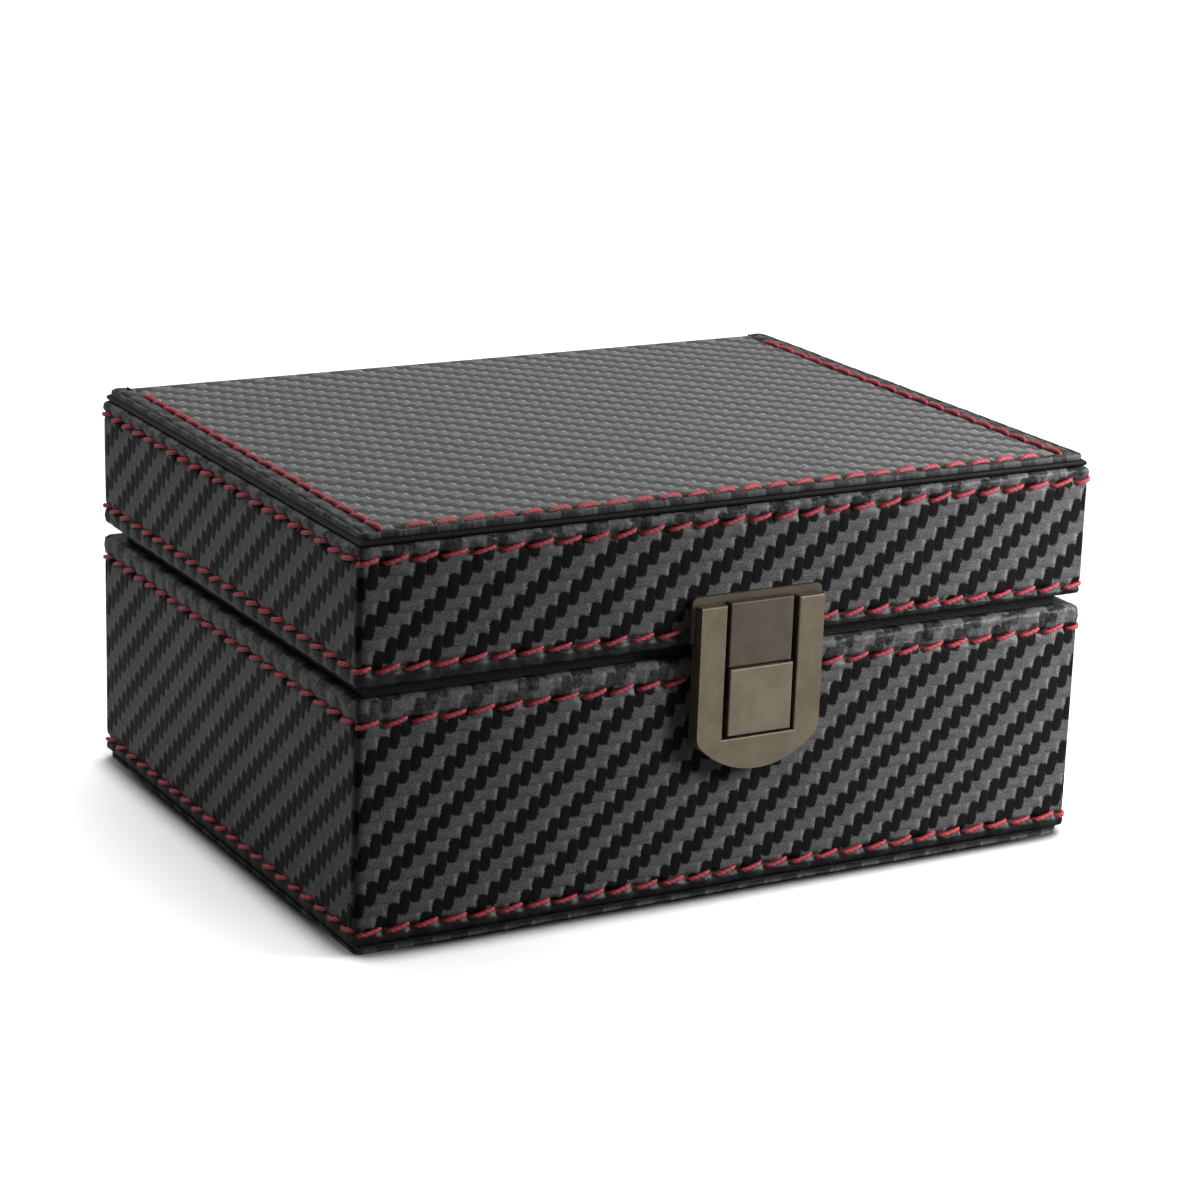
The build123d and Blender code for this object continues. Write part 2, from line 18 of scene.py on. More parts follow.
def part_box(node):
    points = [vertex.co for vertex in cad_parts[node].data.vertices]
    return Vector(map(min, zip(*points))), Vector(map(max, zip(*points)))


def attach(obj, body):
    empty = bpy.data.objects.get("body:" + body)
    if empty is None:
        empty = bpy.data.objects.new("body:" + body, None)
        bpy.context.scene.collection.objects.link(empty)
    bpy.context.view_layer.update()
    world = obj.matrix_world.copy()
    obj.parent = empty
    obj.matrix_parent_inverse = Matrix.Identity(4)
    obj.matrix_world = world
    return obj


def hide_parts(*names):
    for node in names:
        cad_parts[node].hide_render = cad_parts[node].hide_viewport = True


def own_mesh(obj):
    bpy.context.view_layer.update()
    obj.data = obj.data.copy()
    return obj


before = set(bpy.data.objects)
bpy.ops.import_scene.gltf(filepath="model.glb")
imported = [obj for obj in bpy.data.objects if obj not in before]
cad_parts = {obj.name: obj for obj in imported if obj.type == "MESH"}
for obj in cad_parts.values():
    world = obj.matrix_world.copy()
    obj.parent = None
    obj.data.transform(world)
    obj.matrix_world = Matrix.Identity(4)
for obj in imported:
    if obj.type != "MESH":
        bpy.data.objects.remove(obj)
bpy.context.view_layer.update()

LOG = logging.getLogger("key_box")
METRES = 0.001
CLOTH = "cloth"  # a point attribute: along the strip, across it, and how much the leather is a hem
SHADE = "shade"  # a point attribute: how much painted shade darkens the leather's surface


class Body(Enum):
    """The bodies that pieces ride on."""

    BASE = "base"
    LID = "lid"
    BUTTON = "button"


class Slot(Enum):
    """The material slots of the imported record."""

    LEATHER = "weave_leather"
    PIPING = "piping"
    GREYBOARD = "greyboard"
    BLACK_BOARD = "black_board"
    FOAM = "foam"
    SHIELD = "shield_cloth"
    LINING = "lining_cloth"
    BRONZE = "antique_bronze"
    STEEL = "steel"


class Hand(Enum):
    """Which way a twill's diagonals rise, seen from outside."""

    RIGHT = 1
    LEFT = -1


# ---------------------------------------------------------------- shaders
class Signal:
    """An output of a shader node that takes part in arithmetic."""

    def __init__(self, shader: "Shader", socket: bpy.types.NodeSocket) -> None:
        """Wraps one socket of a shader's tree."""
        self.shader = shader
        self.socket = socket

    def __add__(self, other: "Signal | float") -> "Signal":
        """self + other."""
        return self.shader.maths("ADD", self, other)

    __radd__ = __add__

    def __sub__(self, other: "Signal | float") -> "Signal":
        """self - other."""
        return self.shader.maths("SUBTRACT", self, other)

    def __rsub__(self, other: "Signal | float") -> "Signal":
        """other - self."""
        return self.shader.maths("SUBTRACT", other, self)

    def __mul__(self, other: "Signal | float") -> "Signal":
        """self * other."""
        return self.shader.maths("MULTIPLY", self, other)

    __rmul__ = __mul__

    def __truediv__(self, other: "Signal | float") -> "Signal":
        """self / other."""
        return self.shader.maths("DIVIDE", self, other)

    def floor(self) -> "Signal":
        """The whole number below."""
        return self.shader.maths("FLOOR", self)

    def fraction(self) -> "Signal":
        """What is left above the whole number below."""
        return self.shader.maths("FRACT", self)

    def size(self) -> "Signal":
        """The value without its sign."""
        return self.shader.maths("ABSOLUTE", self)

    def sine(self) -> "Signal":
        """The sine of an angle in radians."""
        return self.shader.maths("SINE", self)

    def power(self, exponent: float) -> "Signal":
        """The value raised to a power."""
        return self.shader.maths("POWER", self, exponent)

    def wrap(self, low: float, high: float) -> "Signal":
        """The value repeated between two bounds."""
        return self.shader.maths("WRAP", self, high, low)

    def most(self, other: "Signal | float") -> "Signal":
        """The greater of two values."""
        return self.shader.maths("MAXIMUM", self, other)

    def step(self, low: float, high: float) -> "Signal":
        """A smooth step from 0 at low to 1 at high; low may be the greater one."""
        settings = {"interpolation_type": "SMOOTHSTEP"}
        inputs = {"Value": self, "From Min": low, "From Max": high}
        return self.shader.node("ShaderNodeMapRange", settings, inputs)


class Shader:
    """A material's node tree, written as expressions."""

    def __init__(self, name: str, tree: bpy.types.NodeTree | None = None) -> None:
        """Starts an empty material, or works in the tree given."""
        if tree is None:
            self.material = bpy.data.materials.new(name)
            self.material.use_nodes = True
            tree = self.material.node_tree
        self.tree = tree
        self.tree.nodes.clear()

    def node(
        self,
        kind: str,
        settings: dict[str, Any] | None = None,
        inputs: dict[str | int, Any] | None = None,
        output: str | int = 0,
    ) -> Signal:
        """Adds one node.

        Args:
            kind: The node's type.
            settings: Properties of the node, set before its sockets.
            inputs: Values or signals by socket name or number.
            output: The output that the signal stands for.

        Returns:
            The signal of that output.
        """
        made = self.tree.nodes.new(kind)
        for key, value in (settings or {}).items():
            setattr(made, key, value)
        for key, value in (inputs or {}).items():
            if isinstance(value, Signal):
                self.tree.links.new(value.socket, made.inputs[key])
            else:
                made.inputs[key].default_value = value
        return Signal(self, made.outputs[output])

    def maths(self, operation: str, *values: Signal | float) -> Signal:
        """A Math node on values and numbers."""
        return self.node("ShaderNodeMath", {"operation": operation}, dict(enumerate(values)))

    def mix(self, amount: Signal | float, first: Any, second: Any) -> Signal:
        """A colour between two others."""
        inputs = {0: amount, 6: colour(first), 7: colour(second)}
        return self.node("ShaderNodeMix", {"data_type": "RGBA"}, inputs, 2)

    def scaled(self, tint: Any, amount: Signal | float) -> Signal:
        """A colour made brighter or darker by an amount."""
        settings = {"operation": "SCALE"}
        inputs = {0: tint if isinstance(tint, Signal) else tint[:3], "Scale": amount}
        return self.node("ShaderNodeVectorMath", settings, inputs)

    def attribute(self, name: str, output: str = "Vector") -> Signal:
        """A vector, or a number from the output Fac, that the mesh holds at its points."""
        return self.node("ShaderNodeAttribute", {"attribute_name": name}, output=output)

    def own_place(self) -> Signal:
        """The place on the piece itself, in millimetres."""
        place = self.node("ShaderNodeTexCoord", output="Object")
        settings = {"operation": "SCALE"}
        return self.node("ShaderNodeVectorMath", settings, {0: place, "Scale": 1 / METRES})

    def parts(self, vector: Signal) -> tuple[Signal, Signal, Signal]:
        """The three numbers of a vector."""
        first = self.node("ShaderNodeSeparateXYZ", inputs={0: vector})
        outputs = first.socket.node.outputs
        return tuple(Signal(self, outputs[i]) for i in range(3))

    def vector(self, x: Any, y: Any, z: Any = 0.0) -> Signal:
        """A vector from three numbers."""
        return self.node("ShaderNodeCombineXYZ", inputs={0: x, 1: y, 2: z})

    def noise(self, place: Signal, size: float, detail: float = 2.0, rough: float = 0.5) -> Signal:
        """Soft noise from 0 to 1 whose blobs are about this size."""
        inputs = {"Vector": place, "Scale": 1 / size, "Detail": detail, "Roughness": rough}
        return self.node("ShaderNodeTexNoise", inputs=inputs)

    def cells(self, place: Signal, size: float) -> Signal:
        """Distance to the nearest of scattered points this far apart."""
        return self.node("ShaderNodeTexVoronoi", inputs={"Vector": place, "Scale": 1 / size})

    def bump(self, height: Signal, depth: float, strength: float = 1.0) -> Signal:
        """A normal from a height of 0 to 1 that stands this many millimetres."""
        inputs = {"Strength": strength, "Distance": depth * METRES, "Height": height}
        return self.node("ShaderNodeBump", inputs=inputs)

    def finish(self, **sockets: Any) -> bpy.types.Material:
        """Ends the tree in one surface.

        Args:
            sockets: Values or signals by socket name, with _ for each space.

        Returns:
            The material.
        """
        inputs = {key.replace("_", " "): value for key, value in sockets.items()}
        surface = self.node("ShaderNodeBsdfPrincipled", inputs=inputs)
        self.node_output(surface)
        return self.material

    def node_output(self, surface: Signal, kind: str = "ShaderNodeOutputMaterial") -> None:
        """Joins a surface to the tree's output."""
        made = self.tree.nodes.new(kind)
        self.tree.links.new(surface.socket, made.inputs["Surface"])


def colour(value: Any) -> Any:
    """A colour as a node takes it, from a signal, a grey or three numbers."""
    if isinstance(value, Signal):
        return value
    if isinstance(value, (int, float)):
        return (value, value, value, 1.0)
    return (*value[:3], 1.0)


def shade(red: float, green: float, blue: float) -> tuple[float, float, float]:
    """Linear light from the 0 to 255 numbers of a screen colour."""

    def linear(part: float) -> float:
        """One channel."""
        part /= 255
        return part / 12.92 if part <= 0.04045 else ((part + 0.055) / 1.055) ** 2.4

    return linear(red), linear(green), linear(blue)


# ---------------------------------------------------------------- finishes
@dataclass(frozen=True)
class TwillLeather:
    """Leather pressed with a two-over-two twill; its hems are plainer and crinkled."""

    name: str
    hand: Hand = Hand.RIGHT
    skew: float = -3.8  # degrees that the weave is turned
    tow: float = 2.155
    dark: tuple[float, float, float] = shade(21, 21, 21)
    light: tuple[float, float, float] = shade(92, 92, 92)
    hem: tuple[float, float, float] = shade(110, 110, 112)
    lean: float = 0.1  # of a tow, sideways for each tow up
    slant: float = -0.12
    relief: float = 0.11
    gloss: float = 0.12  # of the light floats and the hems
    plain: float = 0.52  # how much of the weave a hem loses

    def brick(self, shader: Shader, u: Signal, v: Signal, step: int) -> Signal:
        """How much a point lies on the dark float of the column that is some steps away."""
        column = u.floor() + float(step)
        x = u - column - 0.5
        y = (v - column * float(self.hand.value) - 1.0).wrap(-2.0, 2.0)
        across = (x - y * (self.lean * self.hand.value)).size() * 2.02
        along = (y - x * (self.slant * self.hand.value)).size() * 0.95
        return (across.power(4.0) + along.power(4.0)).step(1.4, 0.7)

    def material(self) -> bpy.types.Material:
        """The leather's material."""
        shader = Shader(self.name)
        cloth = shader.attribute(CLOTH)
        x, y, hem = shader.parts(cloth)
        wobble = shader.noise(cloth, 9.0)
        fray = shader.noise(cloth, 0.55, 2.0, 0.6)
        turn = math.radians(self.skew)
        u = (x * math.cos(turn) + y * math.sin(turn)) / self.tow + wobble * 0.35 + fray * 0.3
        v = (y * math.cos(turn) - x * math.sin(turn)) / self.tow + wobble * 0.25 - fray * 0.35
        warp = self.brick(shader, u, v, 0)
        for step in (-1, 1):
            warp = warp.most(self.brick(shader, u, v, step))
        from_column = u.fraction() - 0.5
        from_row = v.fraction() - 0.5
        warp_crown = 1 - from_column * from_column * 3.6
        weft_crown = 1 - from_row * from_row * 3.6
        ribs = shader.noise(shader.vector(u * 9.0, v * 1.1), 1.0, 3.0, 0.6)
        threads = shader.noise(shader.vector(u * 1.6, v * 9.0), 1.0, 3.0, 0.6)
        grain = shader.noise(cloth, 0.36, 2.0, 0.7)
        patch = shader.noise(shader.vector(u * 0.6, v * 1.3), 1.0, 1.0)
        own = (v - u.floor() * float(self.hand.value) - 1.0).wrap(-2.0, 2.0) * float(self.hand.value)
        # painted highlight: a glint at the right end of each light float
        painted_glint = from_column.step(0.05, 0.4) * own.step(0.8, 1.2) * ribs.step(0.35, 0.65)
        speck = grain.step(0.3, 0.7)
        # painted highlights: the glints, and the crowns of the light and dark floats lightened a little
        weft_tone = threads * 0.7 + speck * 0.6 + patch * 0.6 + weft_crown * 0.1 + painted_glint * 1.1 - 0.3
        light = shader.scaled(self.light, weft_tone)
        dark = shader.scaled(self.dark, ribs * 1.1 + speck * 0.7 + warp_crown * 0.1)
        woven = shader.mix(warp, light, dark)
        crease = shader.noise(shader.vector(x * 0.9, y * 0.35), 1.0, 4.0, 0.65)
        fine = shader.noise(cloth, 0.45, 3.0, 0.7)
        hem_tone = crease * 1.5 + fine * 1.7 - warp * 0.35 - 1.0
        wrinkled = shader.scaled(self.hem, hem_tone.most(0.04))
        surface = shader.mix(hem * self.plain, woven, wrinkled)
        height = (
            (weft_crown * 0.75 + threads * 0.25) * (1 - warp)
            + (warp_crown * 0.8 + ribs * 0.3 + 0.1) * warp
            + grain * 0.12
        )
        hem_height = height * 0.35 + crease * 0.9 + fine * 0.35
        normal = shader.bump(height * (1 - hem) + hem_height * hem, self.relief)
        return shader.finish(
            # painted shade: the shade attribute darkens the leather's colour
            Base_Color=shader.scaled(surface, 1 - shader.attribute(SHADE, "Fac")),
            Roughness=0.52 - warp * 0.06 - hem * 0.08 + grain * 0.12,
            Specular_IOR_Level=0.015,
            Coat_Weight=(1 - warp * (1 - hem)) * self.gloss,
            Coat_Roughness=0.35,
            Normal=normal,
        )


@dataclass(frozen=True)
class GrainedLeather:
    """Plain black leather with a fine grain, for piping."""

    name: str
    tone: tuple[float, float, float] = shade(12, 12, 13)

    def material(self) -> bpy.types.Material:
        """The piping's material."""
        shader = Shader(self.name)
        place = shader.own_place()
        grain = shader.cells(place, 0.4)
        wear = shader.noise(place, 3.0, 3.0)
        return shader.finish(
            Base_Color=shader.scaled(self.tone, wear * 1.1 + 0.4),
            Roughness=0.55 + grain * 0.15,
            Specular_IOR_Level=0.08,
            Normal=shader.bump(grain, 0.05),
        )


@dataclass(frozen=True)
class Thread:
    """Bonded sewing thread of two plies, with its fibres along the twist."""

    name: str
    tone: tuple[float, float, float] = shade(164, 42, 54)
    # painted shade: the darker red of the valleys between the plies
    deep: tuple[float, float, float] = shade(56, 8, 14)

    def material(self) -> bpy.types.Material:
        """The thread's material; cloth holds the length, the angle in turns and the ply's crown."""
        shader = Shader(self.name)
        along, around, crown = shader.parts(shader.attribute(CLOTH))
        fibre = shader.noise(shader.vector(along * 0.8, around * 9.0 + along * 3.2), 1.0, 3.0, 0.6)
        fray = shader.noise(shader.own_place(), 0.25, 2.0)
        # painted shade and highlight: darker in the valleys between the plies, brighter on each ply's crown
        painted_ply_shade = shader.mix(crown * 0.75 + fibre * 0.35, self.deep, self.tone)
        return shader.finish(
            Base_Color=shader.scaled(painted_ply_shade, fray * 0.5 + 0.75),
            Roughness=0.62 + fibre * 0.15,
            Specular_IOR_Level=0.5,
            Normal=shader.bump(fibre * 0.7 + fray * 0.3, 0.05),
        )


@dataclass(frozen=True)
class AgedBronze:
    """Antique bronze: a brushed, slightly pitted plate with brown patina."""

    name: str
    tone: tuple[float, float, float] = shade(95, 87, 72)
    patina: tuple[float, float, float] = shade(80, 64, 48)
    dull: tuple[float, float, float] = shade(83, 75, 62)
    rough: float = 0.42

    def material(self) -> bpy.types.Material:
        """The metal's material."""
        shader = Shader(self.name)
        place = shader.own_place()
        x, y, z = shader.parts(place)
        brushed = shader.noise(shader.vector(x * 0.5, y * 0.5, z * 7.0), 1.0, 3.0, 0.6)
        cloud = shader.noise(place, 5.5, 4.0, 0.6)
        spots = shader.noise(place, 1.6, 3.0, 0.55)
        speck = shader.noise(place, 0.45, 3.0, 0.7)
        pits = shader.cells(place, 0.7)
        worn = shader.mix(cloud.step(0.3, 0.7), self.dull, self.tone)
        stained = shader.mix(spots.step(0.62, 0.85) * 0.4, worn, self.patina)
        return shader.finish(
            Base_Color=shader.scaled(stained, brushed * 0.25 + speck * 0.3 + 0.72),
            Metallic=0.75,
            Roughness=self.rough + brushed * 0.12 + spots.step(0.6, 0.75) * 0.08,
            Normal=shader.bump(brushed * 0.5 + pits.step(0.0, 0.25) * 0.5, 0.02),
        )


@dataclass(frozen=True)
class BrushedSteel:
    """Bright spring steel with fine rolling marks."""

    name: str
    tone: tuple[float, float, float] = shade(170, 172, 176)

    def material(self) -> bpy.types.Material:
        """The metal's material."""
        shader = Shader(self.name)
        x, y, z = shader.parts(shader.own_place())
        marks = shader.noise(shader.vector(x * 0.6, y * 6.0, z * 9.0), 1.0, 3.0)
        return shader.finish(
            Base_Color=shader.scaled(self.tone, marks * 0.3 + 0.8),
            Metallic=1.0,
            Roughness=0.25 + marks * 0.2,
            Normal=shader.bump(marks, 0.01),
        )


@dataclass(frozen=True)
class Cloth:
    """A plain weave, such as book cloth, lining or conductive cloth, with an optional nap."""

    name: str
    tone: tuple[float, float, float]
    yarn: float = 0.45
    nap: float = 0.0
    metal: float = 0.0
    rough: float = 0.85

    def material(self) -> bpy.types.Material:
        """The cloth's material, woven along its own axes."""
        shader = Shader(self.name)
        place = shader.own_place()
        x, y, z = shader.parts(place)
        turn = math.pi / self.yarn
        checks = ((x + y * 0.5) * turn).sine() * ((z + y * 0.5) * turn).sine()
        fluff = shader.noise(place, 0.35, 4.0, 0.7)
        drift = shader.noise(place, 12.0, 2.0)
        weave = (checks * 0.5 + 0.5) * (1 - self.nap)
        tone = weave * 0.45 + fluff * 0.55 + drift * 0.35 + 0.15
        return shader.finish(
            Base_Color=shader.scaled(self.tone, tone),
            Metallic=self.metal,
            Roughness=self.rough - weave * 0.1,
            Specular_IOR_Level=0.2,
            Normal=shader.bump(weave + fluff * (0.3 + self.nap), 0.08),
        )


@dataclass(frozen=True)
class Board:
    """Pressed paper board, or foam with a larger grain."""

    name: str
    tone: tuple[float, float, float]
    grain: float = 0.6

    def material(self) -> bpy.types.Material:
        """The board's material."""
        shader = Shader(self.name)
        place = shader.own_place()
        flecks = shader.noise(place, self.grain, 4.0, 0.65)
        plies = shader.noise(place, self.grain * 8, 2.0)
        return shader.finish(
            Base_Color=shader.scaled(self.tone, flecks * 0.5 + plies * 0.3 + 0.6),
            Roughness=0.9,
            Specular_IOR_Level=0.2,
            Normal=shader.bump(flecks, 0.06),
        )


@dataclass(frozen=True)
class Wardrobe:
    """Every material of the box, each made once."""

    side: bpy.types.Material
    # the top panel's twill, a lighter copy with painted sheen, also worn by the rear flaps
    panel: bpy.types.Material
    piping: bpy.types.Material
    thread: bpy.types.Material
    frame_bronze: bpy.types.Material
    tongue_bronze: bpy.types.Material
    button_bronze: bpy.types.Material
    steel: bpy.types.Material
    neck: bpy.types.Material
    lining: bpy.types.Material
    pad: bpy.types.Material
    shield: bpy.types.Material
    greyboard: bpy.types.Material
    lid_board: bpy.types.Material
    foam: bpy.types.Material

    @classmethod
    def made(cls) -> "Wardrobe":
        """Makes the materials."""
        # painted sheen: the top panel's twill is a lighter, lower-contrast copy of the side leather, standing in for
        # the reflection off the top
        top = TwillLeather(
            "twill_panel_painted_sheen",
            Hand.LEFT,
            -2.3,
            tow=1.78,
            dark=shade(70, 70, 70),
            light=shade(118, 117, 117),
            hem=shade(74, 74, 76),
            relief=0.07,
            gloss=0.05,
            plain=0.7,
        )
        return cls(
            side=TwillLeather("twill_side").material(),
            panel=top.material(),
            piping=GrainedLeather("piping_leather").material(),
            thread=Thread("red_thread").material(),
            frame_bronze=AgedBronze("bronze_frame").material(),
            # painted shade and light: the recessed tongue gets a darker copy of the bronze and the raised button a
            # lighter one
            tongue_bronze=AgedBronze(
                "bronze_tongue_painted_shade", shade(73, 66, 56), dull=shade(64, 57, 48), rough=0.5
            ).material(),
            button_bronze=AgedBronze("bronze_button_painted_light", shade(102, 94, 80), dull=shade(90, 82, 69)).material(),
            steel=BrushedSteel("spring_steel").material(),
            neck=Cloth("neck_book_cloth", shade(26, 26, 28), 0.5).material(),
            lining=Cloth("black_lining", shade(40, 40, 43), 0.5, nap=0.7).material(),
            pad=Cloth("black_pad_velvet", shade(46, 46, 50), 0.5, nap=0.85).material(),
            shield=Cloth("shielding_cloth", shade(52, 53, 54), 0.35, 0.0, 0.4, 0.6).material(),
            greyboard=Board("grey_board", shade(66, 65, 63)).material(),
            # painted shade: the lid's boards are made near black so that where they show through the gap under the
            # top panel they read as shade
            lid_board=Board("board_black_as_gap_shade", shade(27, 27, 29)).material(),
            foam=Board("grey_foam", shade(62, 62, 64), 1.1).material(),
        )


# ---------------------------------------------------------------- meshes
def waves(x: np.ndarray, y: np.ndarray, length: float, seed: int, count: int = 9) -> np.ndarray:
    """Smooth unevenness from a few crossing waves.

    Args:
        x: One coordinate of the points.
        y: The other coordinate.
        length: The mean wave length, in the same unit.
        seed: The start of the random draws.
        count: How many waves are added.

    Returns:
        Heights of about -1 to 1.
    """
    draw = np.random.default_rng(seed)
    total = np.zeros(np.broadcast(x, y).shape)
    for angle, stretch, phase in zip(
        draw.uniform(0, np.pi, count), draw.uniform(0.6, 1.6, count), draw.uniform(0, 2 * np.pi, count)
    ):
        turn = 2 * np.pi / (length * stretch)
        total += np.sin((x * math.cos(angle) + y * math.sin(angle)) * turn + phase)
    return total / math.sqrt(count)


def lines(*stretches: tuple[float, float, float]) -> np.ndarray:
    """Numbers that run through stretches of (start, end, step), each step shortened to fit."""
    found = [np.linspace(a, b, max(2, math.ceil(abs(b - a) / step) + 1)) for a, b, step in stretches]
    joined = np.concatenate(found)
    keep = np.r_[True, np.abs(np.diff(joined)) > 1e-6]
    return joined[keep]


@dataclass
class Piece:
    """A mesh of the box that is dressed and rides on a body."""

    name: str
    points: np.ndarray
    faces: list[Sequence[int]]
    cloth: np.ndarray | None = None
    shade: np.ndarray | None = None
    sharp: float = 50.0

    def build(
        self,
        material: bpy.types.Material,
        body: Body,
        slot: Slot | None = None,
        stands_for: Sequence[str] = (),
    ) -> bpy.types.Object:
        """Makes the object, hangs it on its body and hides the nodes it stands for.

        Args:
            material: Its finish.
            body: What it rides on.
            slot: The record's slot of that finish; not used.
            stands_for: The CAD nodes that it is shown in place of.

        Returns:
            The object.
        """
        mesh = bpy.data.meshes.new(self.name)
        points = np.asarray(self.points, float).reshape(-1, 3) * METRES
        mesh.from_pydata(points.tolist(), [], [list(map(int, face)) for face in self.faces])
        if self.cloth is not None:
            held = mesh.attributes.new(CLOTH, "FLOAT_VECTOR", "POINT")
            held.data.foreach_set("vector", np.asarray(self.cloth, np.float32).ravel())
        if self.shade is not None:
            held = mesh.attributes.new(SHADE, "FLOAT", "POINT")
            held.data.foreach_set("value", np.asarray(self.shade, np.float32).ravel())
        shell = bmesh.new()
        shell.from_mesh(mesh)
        bmesh.ops.recalc_face_normals(shell, faces=shell.faces)
        shell.to_mesh(mesh)
        shell.free()
        mesh.shade_smooth()
        mesh.set_sharp_from_angle(angle=math.radians(self.sharp))
        mesh.materials.append(material)
        made = bpy.data.objects.new(self.name, mesh)
        bpy.context.scene.collection.objects.link(made)
        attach(made, body.value)
        if stands_for:
            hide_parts(*stands_for)
        LOG.info("%s: %d faces", self.name, len(mesh.polygons))
        return made


def tube_faces(stations: int, ring: int, capped: bool = True) -> list[Sequence[int]]:
    """Faces of a closed section that was swept through stations, with its two ends."""
    i, j = np.meshgrid(np.arange(stations - 1), np.arange(ring), indexing="ij")
    k = (j + 1) % ring
    quads = np.stack([i * ring + j, i * ring + k, (i + 1) * ring + k, (i + 1) * ring + j], -1)
    faces: list[Sequence[int]] = list(quads.reshape(-1, 4))
    if capped:
        faces.append(range(ring))
        faces.append(range((stations - 1) * ring, stations * ring))
    return faces


@dataclass(frozen=True)
class Stitching:
    """How the box is sewn: lengths along and across a row."""

    pitch: float = 5.47
    length: float = 5.05
    thickness: float = 0.98
    slope: float = 11.0  # degrees that each stitch rises to the right
    dip: float = 0.42  # of the groove along a row
    hole: float = 0.34  # how much deeper the leather is drawn in at a hole
    reach: float = 0.62  # half width of the groove
    plies: float = 2.4  # turns of the twist in one stitch


SEWN = Stitching()


@dataclass(frozen=True)
class Row:
    """A stitch row: where it runs across the strip, and the far edge of the hem beside it."""

    at: float
    edge: float
    start: float = 0.0  # of the first hole along the strip
    dark: float = 0.0  # how much painted shade darkens the hem beside it
    drift: tuple[tuple[float, float], ...] = ((0.0, 0.0),)  # distances along, and how far the row is off there

    def line(self, along: np.ndarray) -> np.ndarray:
        """Where the row runs across the strip at distances along it."""
        places, offsets = zip(*self.drift)
        return self.at + np.interp(along, places, offsets)

    def drawn_in(self, along: np.ndarray) -> np.ndarray:
        """1 at the holes and 0 half way between them."""
        return np.cos(np.pi * (along - self.start) / SEWN.pitch) ** 6

    def relief(self, along: np.ndarray, across: np.ndarray) -> np.ndarray:
        """How far the leather stands out of its plane, in millimetres, round this row."""
        off = across - self.line(along)
        hole = self.drawn_in(along)
        groove = np.exp(-((off / SEWN.reach) ** 2))
        wide = np.exp(-((off / (1.7 * SEWN.reach)) ** 2))
        middle = (self.line(along) + self.edge) / 2
        half = np.abs(self.edge - self.line(along)) / 2
        puff = np.clip(1 - ((across - middle) / half) ** 2, 0, 1) * self.hem(along, across)
        return -SEWN.dip * groove - SEWN.hole * wide * hole + puff * (0.2 - 0.26 * hole)

    def hem(self, along: np.ndarray, across: np.ndarray) -> np.ndarray:
        """1 on the hem and 0 on the open leather."""
        toward = math.copysign(1, self.edge - self.at)
        return np.clip((across - self.line(along)) * toward / 0.5, 0, 1)

    def shading(self, along: np.ndarray, across: np.ndarray) -> np.ndarray:
        """How much painted shade darkens the hem and the row's groove; the puckers at the holes are left lighter, a
        painted highlight.
        """
        toward = math.copysign(1, self.edge - self.at)
        off = (across - self.line(along)) * toward
        pucker = self.drawn_in(along) * np.exp(-(((off - 0.7) / 0.4) ** 2))
        # painted shade in the row's groove
        groove = 0.45 * np.exp(-((off / 0.55) ** 2))
        return np.maximum(self.dark * self.hem(along, across) * (1 - 0.7 * pucker), groove)


@dataclass(frozen=True)
class Sewing:
    """All rows of one piece of leather."""

    rows: tuple[Row, ...]
    seed: int

    def relief(self, along: np.ndarray, across: np.ndarray) -> np.ndarray:
        """Grooves, puckers and soft crinkles, in millimetres."""
        total = sum(row.relief(along, across) for row in self.rows)
        crinkle = waves(along, across * 2.2, 2.2, self.seed, 12) * 0.045 * self.hem(along, across)
        drape = waves(along, across, 26.0, self.seed + 1) * 0.05
        return total + crinkle + drape

    def hem(self, along: np.ndarray, across: np.ndarray) -> np.ndarray:
        """1 on any hem."""
        return np.maximum.reduce([row.hem(along, across) for row in self.rows])

    def shading(self, along: np.ndarray, across: np.ndarray) -> np.ndarray:
        """How much painted shade darkens the leather."""
        return np.maximum.reduce([row.shading(along, across) for row in self.rows])


